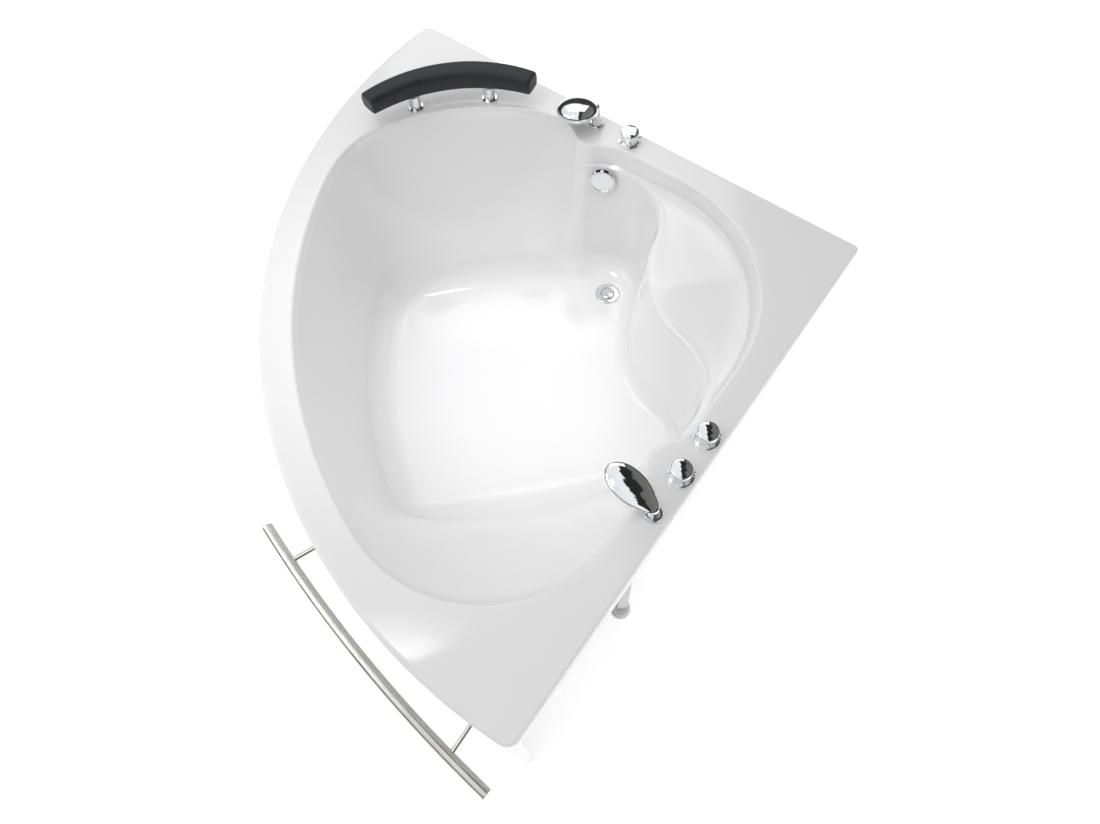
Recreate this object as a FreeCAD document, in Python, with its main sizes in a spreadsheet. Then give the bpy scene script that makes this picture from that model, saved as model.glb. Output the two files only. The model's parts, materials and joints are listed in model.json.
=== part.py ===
import FreeCAD, Part
import math
import os
import re
import Sketcher

# Corner bathtub, 1400 mm along each wall. Millimetres, +Z up.
# The origin is on the floor in the corner of the room: the back wall is the plane y = 0 and runs along +X,
# the left wall is the plane x = 0 and runs along -Y, and the bowed front faces the room, between +X and -Y.
# Places on the deck are given along a wall from that corner, and off the wall towards the room.
# Places under the tub are given as out (along the diagonal into the room) and across (to the headrest side).

SIZES = {
    # shell
    "wall_side": 1400, "rim_height": 580, "shell_wall": 6, "lip_drop": 40,
    "front_centre": 140, "front_radius": 1267, "tip_round": 30, "wall_corner_round": 12, "lip_edge_round": 8,
    # opening of the basin in the deck
    "deck_band": 81, "ledge": 76, "seat_corner": 396, "head_corner": 380, "foot_corner": 330,
    "head_shelf_round": 633, "head_shelf_out": 952,
    "nose_place": 755, "nose_rise": 44, "nose_flank": 135, "nose_tip": 45, "edge_round": 8,
    # seat and basin
    "seat_drop": 60, "seat_fall": 5, "seat_draft": 9, "seat_nose": 526, "seat_bay": 451, "bay_place": 255,
    "nose_round": 275, "seat_edge": 14, "seat_back_round": 15,
    "basin_depth": 430, "basin_middle": 830, "riser_run": 32, "side_foot": 367, "front_run": 106,
    "floor_round": 62, "riser_round": 42,
    # apron
    "apron_wall": 4, "apron_fit": 0.3, "apron_top_gap": 14, "floor_gap": 8,
    # base board and frame
    "board_thick": 16, "board_length": 500, "board_width": 540, "board_place": 890,
    "tube_size": 30, "post_size": 25, "tube_wall": 2, "back_rail_out": 700, "front_rail_out": 1080,
    "cross_across": 300, "back_leg_clear": 0.3, "side_leg_clear": 24.8, "corner_leg_out": 150,
    "front_leg_out": 1424, "leg_foot": 70, "pad_size": 36, "pad_thick": 4,
    # levelling feet
    "stud_radius": 6, "stud_foot": 5, "stud_length": 84, "foot_radius": 26, "foot_neck": 19, "foot_base": 6,
    "foot_height": 14, "nut_flats": 19, "nut_height": 7, "insert_height": 16,
    # apron brackets
    "bracket_wide": 24, "bracket_thick": 4, "bracket_low": 150, "bracket_high": 470, "bracket_flange": 44,
    "screw_radius": 2.4, "screw_head": 4.5, "screw_head_height": 2.6, "screw_length": 14, "screw_rise": 14,
    # drain and trap
    "drain_out": 575.6, "drain_across": 250, "drain_hole": 26, "drain_ring": 35, "drain_ring_thick": 2.4,
    "drain_bore": 20, "drain_spigot": 24, "spigot_length": 32, "plug_radius": 18.8, "plug_thick": 5,
    "plug_dome": 1.2, "stem_radius": 4, "stem_length": 42, "stem_play": 0.1, "bridge_wide": 12,
    "bridge_thick": 7, "waste_radius": 31, "waste_height": 52, "seal_thick": 3, "outlet_radius": 20,
    "outlet_wall": 2.5, "outlet_reach": 150, "outlet_rise": 40, "outlet_collar": 24,
    "outlet_collar_long": 18, "trap_radius": 32, "trap_wall": 4,
    "trap_height": 62,
    # overflow
    "overflow_along": 690, "overflow_drop": 97, "overflow_disc": 37, "overflow_disc_thick": 11,
    "overflow_hole": 24, "overflow_neck": 22, "overflow_bore": 17, "overflow_collar": 33,
    "overflow_collar_thick": 7, "overflow_gap": 0.5, "overflow_cup": 30, "overflow_cup_deep": 34,
    "overflow_seal_least": 5.2, "axle_radius": 4, "axle_length": 40, "relief_radius": 13, "relief_wall": 2,
    "relief_drop": 42, "cable_radius": 3, "cable_aside": 20, "cable_drop": 28,
    # deck stations, along the wall from the corner
    "station_near": 658, "station_mid": 764, "station_far": 870, "station_off": 39, "deck_hole": 17,
    "ring_radius": 30, "ring_thick": 5, "ring_step": 26, "ring_step_thick": 3,
    "knob_radius": 24.5, "knob_height": 31, "knob_gap": 0.5, "knob_edge": 2, "knob_dome": 2.5,
    "nub_radius": 2.8, "nub_reach": 6, "nub_rise": 9, "nub_turn": 36,
    "spindle_radius": 7, "spindle_deep": 26, "spindle_rise": 15, "spindle_play": 0.08,
    "shank_radius": 16, "hex_flats": 44, "hex_top": 30, "hex_height": 46, "tail_radius": 10.48,
    "tail_bore": 7, "tail_length": 28, "washer_radius": 22, "washer_thick": 3, "deck_nut_flats": 46,
    "deck_nut_height": 9,
    # pipes under the deck
    "link_radius": 7.5, "link_wall": 1, "link_bend": 34, "mixed_off": 50, "mixed_drop": 46, "spout_off": 24,
    "spout_drop": 66, "return_off": 14.5,
    "clip_near": 260, "clip_far": 430, "clip_thick": 10, "clip_from": 12, "clip_to": 60,
    # spout
    "spout_length": 132, "spout_wide": 37, "spout_back": 10, "spout_rise": 38, "spout_thick": 20,
    "spout_turn": 9, "spout_widest": 0.56,
    "spout_neck": 10, "spout_ring": 20, "spout_ring_thick": 7, "spout_shank": 46, "spout_slot": 30,
    # hand shower
    "socket_ring": 20, "socket_ring_thick": 7, "socket_length": 76, "handle_radius": 11.5, "handle_play": 0.3,
    "handle_deep": 80, "hose_tail": 14, "hose_tail_radius": 8, "neck_low": 15.5, "neck_high": 7.5,
    "head_radius": 56, "head_off_x": 36, "head_off_y": 38, "head_rise": 50, "head_rim": 8, "head_dome": 24,
    "head_tilt": 14, "head_lean": 215, "head_under": 9, "head_step": 4.5, "face_radius": 38, "face_thick": 6,
    # headrest
    "rest_centre_out": 945, "rest_set_back": 373, "rest_radius": 397, "rest_half_angle": 34,
    "rest_half_width": 31, "rest_low": 46, "rest_height": 56, "rest_round": 15, "rest_low_round": 10,
    "rest_crown": 5, "rest_side_swell": 3, "rest_belly": 0.8, "rest_taper": 0.12, "rest_end_round": 7,
    "rest_post_gap": 204, "rest_post_across": 660, "rest_post_radius": 16, "rest_ring": 21,
    "rest_ring_thick": 5, "rest_stud": 5,
    "rest_stud_length": 30, "rest_plate": 3, "rest_plate_wide": 26, "rest_nut_flats": 17,
    "rest_nut_height": 8,
    # grab rail
    "rail_drop": 105, "rail_radius": 12.5, "rail_wall": 1.5, "rail_middle": 80, "rail_stand": 1319.5,
    "rail_bow": 3275, "rail_half": 365, "rail_post_half": 267, "rail_post": 6, "rail_flange": 15,
    "rail_flange_thick": 3, "rail_stud": 4, "rail_nut_flats": 13, "rail_nut_height": 6.5, "cap_thick": 2.5,
}
ROUND_STEPS = 144          # points round the basin's outlines
HALF = math.sqrt(0.5)      # sine and cosine of the diagonal

DOC = FreeCAD.newDocument("corner_bathtub")
SHEET = DOC.addObject("Spreadsheet::Sheet", "Sizes")
for row, (alias, value) in enumerate(SIZES.items(), start=1):
    SHEET.set("A%d" % row, alias)
    SHEET.set("B%d" % row, str(value))
    SHEET.setAlias("B%d" % row, alias)
DOC.recompute()
PARTS = []
WORKED_OUT = []


def size(alias):
    """A driving dimension, read back from the sheet."""
    return float(SHEET.get(alias))


def work_out(alias, number):
    """Puts a number worked out from the sizes into the sheet, under a name of its own."""
    WORKED_OUT.append(alias)
    row = len(SIZES) + len(WORKED_OUT) + 1
    SHEET.set("A%d" % row, alias)
    SHEET.set("B%d" % row, "%.6f" % number)
    SHEET.setAlias("B%d" % row, alias)
    SHEET.recompute()


def bound(text):
    """An expression in which every size name points at its cell of the sheet."""

    def cell(word):
        known = word.group() in SIZES or word.group() in WORKED_OUT
        return "Sizes." + word.group() if known else word.group()

    return re.sub(r"[a-z_]+", cell, str(text))


def bind(item, **expressions):
    """Ties properties of an object to expressions in the sheet's sizes; Place is x, y, z."""
    for name, text in expressions.items():
        if name == "Place":
            for axis, part in zip("xyz", text):
                item.setExpression("Placement.Base." + axis, bound(part))
        else:
            item.setExpression(name, bound(text))
    return item


def add(kind, label):
    item = DOC.addObject(kind, label)
    item.Label = label
    return item


def keep(item, label=None):
    """Marks an object as a finished sub-part, exported under its label."""
    if label:
        item.Label = label
    PARTS.append(item)
    return item


def shape_part(label, shape):
    """A finished sub-part whose shape is worked out from the sheet's sizes."""
    item = add("Part::Feature", label)
    item.Shape = shape
    return keep(item)


def cut(label, base, tool):
    item = add("Part::Cut", label)
    item.Base = base
    item.Tool = tool
    return item


def fuse(label, items):
    item = add("Part::MultiFuse", label)
    item.Shapes = items
    return item


def group(label, items):
    """Separate solids that share one node."""
    item = add("Part::Compound", label)
    item.Links = items
    return keep(item)


def turn_about_z(item, degrees):
    item.Placement.Rotation = FreeCAD.Rotation(FreeCAD.Vector(0, 0, 1), degrees)


# places ----------------------------------------------------------------------------------------------------

def at(along_left, along_back, z=0.0):
    """A point given along the left wall and along the back wall."""
    return FreeCAD.Vector(along_back, -along_left, z)


def out_across(out, across, z=0.0):
    """A point given along the diagonal into the room and across it, towards the headrest tip."""
    return FreeCAD.Vector((out - across) * HALF, -(out + across) * HALF, z)


def diagonal_place(out, across, z):
    """The same, as three expressions for a bound placement."""
    return ("((%s) - (%s)) * sqrt(0.5)" % (out, across), "-((%s) + (%s)) * sqrt(0.5)" % (out, across), z)


# outlines of the basin -------------------------------------------------------------------------------------

def half_opening(corner_round):
    """The opening from the wall corner to the middle of the front, as (along wall, off wall) points."""
    points = []

    def arc(centre_along, centre_off, radius, first, last):
        steps = max(2, int(abs(last - first) / math.radians(2.5)) + 1)
        for i in range(steps + 1):
            angle = first + (last - first) * i / steps
            points.append((centre_along + radius * math.cos(angle), centre_off + radius * math.sin(angle)))

    ledge = size("ledge")
    seat_round = size("seat_corner")
    flank = size("nose_flank")
    tip = size("nose_tip")
    centre = size("front_centre")
    arc(ledge + seat_round, ledge + seat_round, seat_round, math.radians(225), math.radians(270))
    turn = math.acos(1 - size("nose_rise") / (flank + tip))
    half_span = (flank + tip) * math.sin(turn)
    place = size("nose_place")
    arc(place - half_span, ledge + flank, flank, math.radians(270), math.radians(270) + turn)
    arc(place, ledge + size("nose_rise") - tip, tip, math.radians(90) + turn, math.radians(90) - turn)
    arc(place + half_span, ledge + flank, flank, math.radians(270) - turn, math.radians(270))
    front = size("front_radius") - size("deck_band")
    rise = ledge + corner_round - centre
    run = math.sqrt((front - corner_round) ** 2 - rise ** 2)
    arc(centre + run, centre + rise, corner_round, math.radians(-90), math.atan2(rise, run))
    arc(centre, centre, front, math.atan2(rise, run), math.radians(45))
    return points


def soft_least(values, sharpness):
    """The least of some distances, with the corner between two of them rounded."""
    least = min(values)
    return least * sum((least / value) ** sharpness for value in values) ** (-1.0 / sharpness)


class Basin:
    """The inside of the tub as radii round a point on the diagonal, by angle and by depth below the deck.
    Angle 0 points at the front, and positive angles turn to the headrest side."""

    def __init__(self):
        self.middle = size("basin_middle")
        self.depth = size("basin_depth")
        self.drop = size("seat_drop")
        table = []
        for side, corner in ((1, size("head_corner")), (-1, size("foot_corner"))):
            for along, off in half_opening(corner):
                out = (along + off) * HALF - self.middle
                across = (along - off) * HALF * side
                table.append((math.atan2(across, out), math.hypot(out, across)))
        table.sort()
        first = (table[0][0] + 2 * math.pi, table[0][1])
        last = (table[-1][0] - 2 * math.pi, table[-1][1])
        self.table = [last] + table + [first]

    def opening(self, angle):
        for (low, near), (high, far) in zip(self.table, self.table[1:]):
            if low <= angle <= high and high > low:
                radius = near + (far - near) * (angle - low) / (high - low)
                break
        if math.radians(20) < angle < math.radians(115):
            # under the headrest the edge is flatter than the corner's arc
            aside = size("head_shelf_out") - self.middle
            along = aside * math.cos(angle)
            shelf = along + math.sqrt(along ** 2 + size("head_shelf_round") ** 2 - aside ** 2)
            radius = soft_least([radius, shelf], 80)
        return radius

    def to_wave(self, angle, nose, bay):
        """Distance to the seat's wavy front, which stands out at the nose and draws back in two bays."""
        bay_place = size("bay_place")
        rounds = (bay_place ** 2 + (nose - bay) ** 2) / (2 * (nose - bay))
        nose_round = min(size("nose_round"), 0.62 * rounds)
        bay_round = rounds - nose_round
        knee = bay_place * nose_round / rounds

        def wave(across):
            across = abs(across)
            if across <= knee:
                return nose - nose_round + math.sqrt(nose_round ** 2 - across ** 2)
            over = min(abs(across - bay_place), 0.98 * bay_round)
            return bay + bay_round - math.sqrt(bay_round ** 2 - over ** 2)

        if math.cos(angle) > -0.2:
            return None
        near = 0.0
        while self.middle + (near + 5) * math.cos(angle) > wave((near + 5) * math.sin(angle)):
            near += 5
            if near > size("wall_side"):
                return None
        far = near + 5
        for _ in range(24):
            half = (near + far) / 2
            if self.middle + half * math.cos(angle) > wave(half * math.sin(angle)):
                near = half
            else:
                far = half
        return near

    def foot(self, angle):
        """Where the walls would meet the floor."""
        radii = []
        if abs(math.sin(angle)) > 1e-6:
            radii.append(size("side_foot") / abs(math.sin(angle)))
        front = size("front_radius") - size("deck_band") - size("front_run")
        offset = self.middle - size("front_centre") / HALF
        along = offset * math.cos(angle)
        radii.append(math.sqrt(along ** 2 + front ** 2 - offset ** 2) - along)
        run = size("riser_run")
        riser = self.to_wave(angle, size("seat_nose") + run + 7, size("seat_bay") + run)
        if riser is not None:
            radii.append(riser)
        return soft_least(radii, 14)

    def profile(self, angle):
        """(depth, radius) from the deck's edge down to the flat of the floor."""
        rim = self.opening(angle)
        foot = self.foot(angle)
        draft = size("seat_draft")
        wave = self.to_wave(angle, size("seat_nose"), size("seat_bay"))
        seat = 0.0
        if wave is not None:
            seat = min(1.0, max(0.0, (rim - draft - wave) / 60.0))
            seat = seat * seat * (3 - 2 * seat)
        drawn_in = seat * draft + (1 - seat) * (rim - foot) * self.drop / self.depth
        edge = rim - drawn_in
        if wave is not None:
            edge = soft_least([wave, edge], 30)
        points = []
        edge_round = size("edge_round")
        for turn in (0, 30, 60, 90):
            turn = math.radians(turn)
            points.append((edge_round * (1 - math.cos(turn)), rim + edge_round * (1 - math.sin(turn))))
        back = size("seat_back_round")
        for turn in (0, 30, 60, 90):
            turn = math.radians(turn)
            depth = self.drop - size("seat_fall") - back * (1 - math.sin(turn))
            points.append((depth, rim - drawn_in * depth / self.drop - seat * back * (1 - math.cos(turn))))

        def lower_wall(depth):
            return edge + (foot - edge) * (depth - self.drop) / (self.depth - self.drop)

        front = size("seat_edge")
        for turn in (0, 30, 60, 90):
            turn = math.radians(turn)
            depth = self.drop + front * (1 - math.cos(turn))
            points.append((depth, lower_wall(depth) + seat * front * (1 - math.sin(turn))))
        reach = size("floor_round")
        own = seat * size("riser_round") + (1 - seat) * reach
        for depth in (0.35 * self.depth, 0.6 * self.depth):
            points.append((depth, lower_wall(depth)))
        for turn in (0, 22, 45, 67, 90):
            height = reach * (1 - math.sin(math.radians(turn)))
            inset = 0.0
            if height < own:
                inset = own * (1 - math.sqrt(1 - (1 - height / own) ** 2))
            points.append((self.depth - height, lower_wall(self.depth - height) - inset))
        return points

    def surface_point(self, angle, radius, z):
        return out_across(self.middle + radius * math.cos(angle), radius * math.sin(angle), z)

    def wall_radius(self, angle, depth):
        pairs = self.profile(angle)
        for (upper, near), (lower, far) in zip(pairs, pairs[1:]):
            if upper <= depth <= lower:
                return near + (far - near) * (depth - upper) / (lower - upper)
        return pairs[-1][1]


    def beyond(self, point, thicker):
        """How far a point lies outside the basin, or outside its wall when thicker is the wall."""
        out = (point.x - point.y) * HALF - self.middle
        across = -(point.x + point.y) * HALF
        depth = size("rim_height") - point.z - thicker
        return math.hypot(out, across) - self.wall_radius(math.atan2(across, out), depth) - thicker


BASIN = Basin()


def leg_across(out, clear):
    """How far across a pair of legs stands so that both pads clear the basin's outside."""
    half = size("pad_size") / 2
    wall = size("edge_round") + size("shell_wall")

    def gap(across):
        gaps = []
        for side in (-1, 1):
            for end in (out - half, out + half):
                aside = (across - half) * side
                angle = math.atan2(aside, end - BASIN.middle)
                gaps.append(math.hypot(end - BASIN.middle, aside) - BASIN.opening(angle) - wall)
        return min(gaps)

    near = 300.0
    far = size("wall_side")
    for _ in range(60):
        half_way = (near + far) / 2
        if gap(half_way) < clear:
            near = half_way
        else:
            far = half_way
    return far


work_out("back_leg_across", leg_across(size("back_rail_out"), size("back_leg_clear")))
work_out("side_leg_across", leg_across(size("front_rail_out"), size("side_leg_clear")))


def basin_solid(thicker, top):
    """The basin's inside, or its outside when thicker is the wall, as one ruled solid up to a height."""
    rim = size("rim_height")
    angles = [2 * math.pi * i / ROUND_STEPS - math.pi for i in range(ROUND_STEPS)]
    profiles = [BASIN.profile(angle) for angle in angles]
    wires = []

    def ring(radii, z):
        points = [BASIN.surface_point(angle, radius + thicker, z) for angle, radius in zip(angles, radii)]
        curve = Part.BSplineCurve()
        curve.interpolate(Points=points, PeriodicFlag=True)
        return Part.Wire([curve.toShape()])

    wires.append(ring([profile[0][1] for profile in profiles], top))
    for level in range(len(profiles[0])):
        z = rim - profiles[0][level][0] - thicker
        if z < wires[-1].BoundBox.ZMin - 0.2:
            wires.append(ring([profile[level][1] for profile in profiles], z))
    return Part.makeLoft(wires, True, True)


# outlines of the rim ---------------------------------------------------------------------------------------

def tip_points(inset):
    """The rounded tip of an outline that lies inset from the rim: where it leaves the wall line, its middle
    and where it meets the front arc, as (along wall, off wall), and the middle of the front."""
    centre = size("front_centre")
    front = size("front_radius") - inset
    tip = max(size("tip_round") - inset, 4.0)
    rise = inset + tip - centre
    run = math.sqrt((front - tip) ** 2 - rise ** 2)
    angle = math.atan2(rise, run)
    middle = (angle - math.pi / 2) / 2
    leave = (centre + run, inset)
    half = (centre + run + tip * math.cos(middle), centre + rise + tip * math.sin(middle))
    meet = (centre + front * math.cos(angle), centre + front * math.sin(angle))
    bow = centre + front * HALF
    return leave, half, meet, (bow, bow)


def front_edges(inset, z):
    """Edges round both tips and the front, from the left wall's line to the back wall's."""
    leave, half, meet, bow = tip_points(inset)
    left = [at(along, off, z) for along, off in (leave, half, meet)]
    back = [at(off, along, z) for along, off in (leave, half, meet)]
    return [Part.Arc(*left).toShape(), Part.Arc(left[2], at(bow[0], bow[1], z), back[2]).toShape(),
            Part.Arc(back[2], back[1], back[0]).toShape()], left[0], back[0]


def rim_face(inset, z):
    corner = max(size("wall_corner_round") - inset, 3.0)
    edges, left, back = front_edges(inset, z)
    start = at(inset + corner, inset, z)
    end = at(inset, inset + corner, z)
    bend = at(inset + corner * (1 - HALF), inset + corner * (1 - HALF), z)
    edges.append(Part.LineSegment(back, end).toShape())
    edges.append(Part.Arc(end, bend, start).toShape())
    edges.append(Part.LineSegment(start, left).toShape())
    return Part.Face(Part.Wire(Part.__sortEdges__(edges)))


def prism(face, height):
    return face.extrude(FreeCAD.Vector(0, 0, height))


# tub shell -------------------------------------------------------------------------------------------------

def drain_point(z):
    return out_across(size("drain_out"), size("drain_across"), z)


def overflow_frame():
    """The overflow's seat on the basin wall: a point on the surface and the direction into the basin."""
    z = size("rim_height") - size("overflow_drop")
    along = size("overflow_along")
    off = size("ledge") + 30
    for _ in range(12):
        out = (along + off) * HALF - BASIN.middle
        across = (along - off) * HALF
        angle = math.atan2(across, out)
        wall = BASIN.wall_radius(angle, size("overflow_drop"))
        off += (math.hypot(out, across) - wall) / max(0.3, math.sin(angle - math.radians(45)))
    step = 0.03

    def on_wall(turn, drop):
        depth = size("overflow_drop") + drop
        return BASIN.surface_point(angle + turn, BASIN.wall_radius(angle + turn, depth), z - drop)

    sideways = on_wall(step, 0) - on_wall(-step, 0)
    downwards = on_wall(0, 12) - on_wall(0, -12)
    normal = sideways.cross(downwards)
    normal.normalize()
    inwards = out_across(BASIN.middle, 0, z) - on_wall(0, 0)
    if normal.dot(inwards) < 0:
        normal = normal * -1
    return on_wall(0, 0), normal


OVERFLOW, OVERFLOW_WAY = overflow_frame()


def wall_behind(radius):
    """How far behind the overflow's seat the wall's outside lies, at the most, on a circle round it."""
    sideways = FreeCAD.Vector(0, 0, 1).cross(OVERFLOW_WAY).normalize()
    upwards = OVERFLOW_WAY.cross(sideways)
    deepest = 0.0
    for i in range(36):
        turn = 2 * math.pi * i / 36
        start = OVERFLOW + sideways * (radius * math.cos(turn)) + upwards * (radius * math.sin(turn))
        back = 0.0
        while back < 3 * radius and BASIN.beyond(start - OVERFLOW_WAY * back, size("shell_wall")) < 0:
            back += 0.1
        deepest = max(deepest, back)
    return deepest


work_out("overflow_seal_back", wall_behind(size("overflow_cup")) + size("overflow_seal_least"))
BACK_STATIONS = [("hot", "station_mid"), ("cold", "station_near"), ("spout", "station_far")]
LEFT_STATIONS = [("diverter", "station_near"), ("shower", "station_mid")]


def deck_holes():
    """Centres of the holes in the deck, with their radii."""
    off = size("station_off")
    hole = size("deck_hole")
    places = [(FreeCAD.Vector(size(name), -off, 0), hole) for _, name in BACK_STATIONS]
    places += [(FreeCAD.Vector(off, -size(name), 0), hole) for _, name in LEFT_STATIONS]
    for side in (-1, 1):
        out = size("rest_centre_out") + side * size("rest_post_gap") / 2
        places.append((out_across(out, size("rest_post_across")), size("rest_stud") + 0.5))
    return places


def make_shell():
    rim = size("rim_height")
    wall = size("shell_wall")
    drop = size("lip_drop")
    solid = prism(rim_face(0, rim - drop), drop)
    edges = [edge for edge in solid.Edges if edge.BoundBox.ZMin > rim - 0.01]
    solid = solid.makeFillet(size("lip_edge_round"), edges)
    hollow = prism(rim_face(wall, rim - drop - 1), drop - wall + 1)
    solid = solid.cut(hollow)
    solid = solid.fuse(basin_solid(wall, rim - wall / 2))
    solid = solid.cut(basin_solid(0, rim + 2))
    down = FreeCAD.Vector(0, 0, -1)
    for place, radius in deck_holes():
        start = place + FreeCAD.Vector(0, 0, rim + 2)
        solid = solid.cut(Part.makeCylinder(radius, 2 * wall + 4, start, down))
    floor = rim - size("basin_depth")
    solid = solid.cut(Part.makeCylinder(size("drain_hole"), 3 * wall, drain_point(floor + wall), down))
    start = OVERFLOW + OVERFLOW_WAY * 15
    solid = solid.cut(Part.makeCylinder(size("overflow_hole"), 45, start, OVERFLOW_WAY * -1))
    return solid


# bound building blocks -------------------------------------------------------------------------------------

DERIVED = {}


def value(text):
    """The number an expression stands for, worked out by the sheet in a cell of its own."""
    text = str(text)
    if text not in DERIVED:
        cell = "D%d" % (len(DERIVED) + 1)
        SHEET.set(cell, "=" + text)
        SHEET.recompute()
        DERIVED[text] = float(SHEET.get(cell))
    return DERIVED[text]


def box(label, length, width, height, place, turn=0):
    item = bind(add("Part::Box", label), Length=length, Width=width, Height=height, Place=place)
    turn_about_z(item, turn)
    return item


def rod(label, radius, height, place):
    return bind(add("Part::Cylinder", label), Radius=radius, Height=height, Place=place)


def taper(label, low, high, height, place):
    return bind(add("Part::Cone", label), Radius1=low, Radius2=high, Height=height, Place=place)


def hexagon(label, flats, height, place, turn=0):
    item = add("Part::Prism", label)
    item.Polygon = 6
    bind(item, Circumradius="(%s) / sqrt(3)" % flats, Height=height, Place=place)
    turn_about_z(item, turn)
    return item


def washer(label, outer, inner, height, place):
    return cut(label, rod(label + "_disc", outer, height, place), rod(label + "_hole", inner, height, place))


def nut(label, flats, bore, height, place, turn=0):
    return cut(label, hexagon(label + "_hex", flats, height, place, turn),
               rod(label + "_hole", bore, height, place))


def turned(label, profile, place):
    """A turned piece: (radius, height) corners, each bound to the sheet, revolved about the vertical."""
    body = add("PartDesign::Body", label)
    sketch = body.newObject("Sketcher::SketchObject", label + "_profile")
    plane = [feature for feature in body.Origin.OriginFeatures if feature.Role == "XZ_Plane"][0]
    sketch.AttachmentSupport = [(plane, "")]
    sketch.MapMode = "FlatFace"
    corners = [FreeCAD.Vector(value(radius), value(height), 0) for radius, height in profile]
    count = len(corners)
    for i in range(count):
        sketch.addGeometry(Part.LineSegment(corners[i], corners[(i + 1) % count]), False)
    for i in range(count):
        sketch.addConstraint(Sketcher.Constraint("Coincident", i, 2, (i + 1) % count, 1))
    for i, (radius, height) in enumerate(profile):
        for kind, axis, text, number in (("DistanceX", -2, radius, corners[i].x),
                                         ("DistanceY", -1, height, corners[i].y)):
            if abs(number) < 1e-9:
                sketch.addConstraint(Sketcher.Constraint("PointOnObject", i, 1, axis))
                continue
            sketch.addConstraint(Sketcher.Constraint(kind, -1, 1, i, 1, number))
            sketch.renameConstraint(sketch.ConstraintCount - 1, "%s%d" % (kind, i))
            sketch.setExpression("Constraints.%s%d" % (kind, i), bound(text))
    turn = body.newObject("PartDesign::Revolution", label + "_turned")
    turn.Profile = sketch
    turn.ReferenceAxis = (sketch, ["V_Axis"])
    turn.Angle = 360
    return bind(body, Place=place)


def placed_shape(label, shape):
    """A helper solid, worked out from the sheet's sizes, for use in a boolean."""
    item = add("Part::Feature", label)
    item.Shape = shape
    return item


# places of the fittings, as expressions ---------------------------------------------------------------------

DECK = "rim_height"
UNDER_DECK = "rim_height - shell_wall"
FLOOR_UNDER = "rim_height - basin_depth - shell_wall"
BOARD_UNDER = FLOOR_UNDER + " - board_thick"
HOT = ("station_mid", "-station_off")
COLD = ("station_near", "-station_off")
SPOUT = ("station_far", "-station_off")
DIVERTER = ("station_off", "-station_near")
SHOWER = ("station_off", "-station_mid")
STATIONS = {"hot": HOT, "cold": COLD, "spout": SPOUT, "diverter": DIVERTER, "shower": SHOWER}


def over(station, height):
    """Place of something at a deck station, at a height above the deck (or below it)."""
    return (station[0], station[1], "%s + %s" % (DECK, height))


# tub shell -------------------------------------------------------------------------------------------------

shape_part("tub_shell", make_shell())


# base board and frame --------------------------------------------------------------------------------------

def make_board():
    corner = diagonal_place("board_place - board_length / 2", "board_width / 2", BOARD_UNDER)
    keep(box("base_board", "board_length", "board_width", "board_thick", corner, -45))


def tube(label, out, across, length, wide, z, along):
    """A square tube, hollow from end to end; out and across give the corner nearest the wall corner on the
    headrest side, and along is the way it runs: out, across or up."""
    if along == "out":
        sides = (length, wide, wide)
        hollow = (length, wide + " - 2 * tube_wall", wide + " - 2 * tube_wall")
        inner = (out, across + " - tube_wall", z + " + tube_wall")
    elif along == "across":
        sides = (wide, length, wide)
        hollow = (wide + " - 2 * tube_wall", length, wide + " - 2 * tube_wall")
        inner = (out + " + tube_wall", across, z + " + tube_wall")
    else:
        sides = (wide, wide, length)
        hollow = (wide + " - 2 * tube_wall", wide + " - 2 * tube_wall", length)
        inner = (out + " + tube_wall", across + " - tube_wall", z)
    return cut(label, box(label + "_outside", *sides, diagonal_place(out, across, z), -45),
               box(label + "_inside", *hollow, diagonal_place(*inner), -45))


LEGS = [("corner", "corner_leg_out", "0"), ("left_back", "back_rail_out", "back_leg_across"),
        ("right_back", "back_rail_out", "-back_leg_across"),
        ("left_front", "front_rail_out", "side_leg_across"),
        ("right_front", "front_rail_out", "-side_leg_across"), ("front", "front_leg_out", "0")]
STUBS = [("middle_back", "back_rail_out", "0"), ("middle_front", "front_rail_out", "0")]
RAIL_UNDER = BOARD_UNDER + " - tube_size"


def make_rails():
    for name, out, leg in (("back", "back_rail_out", "back_leg_across"),
                           ("front", "front_rail_out", "side_leg_across")):
        keep(tube("frame_%s_rail" % name, out + " - tube_size / 2", leg + " - post_size / 2",
                  "2 * %s - post_size" % leg, "tube_size", RAIL_UNDER, "across"))


def make_cross_tubes():
    length = "front_rail_out - back_rail_out - tube_size"
    start = "back_rail_out + tube_size / 2"
    wide = "tube_size"
    group("frame_cross_tubes", [
        tube("cross_tube_left", start, "cross_across + tube_size / 2", length, wide, RAIL_UNDER, "out"),
        tube("cross_tube_right", start, "tube_size / 2 - cross_across", length, wide, RAIL_UNDER, "out")])


def make_spine_tubes():
    wide = "tube_size"
    less = " - (tube_size + post_size) / 2"
    group("frame_spine_tubes", [
        tube("spine_to_corner", "corner_leg_out + post_size / 2", "tube_size / 2",
             "back_rail_out - corner_leg_out" + less, wide, RAIL_UNDER, "out"),
        tube("spine_to_front", "front_rail_out + tube_size / 2", "tube_size / 2",
             "front_leg_out - front_rail_out" + less, wide, RAIL_UNDER, "out")])


BRACKETS = [(out, across, height) for _, out, across in LEGS[3:]
            for height in ("bracket_low", "bracket_high")]


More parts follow.
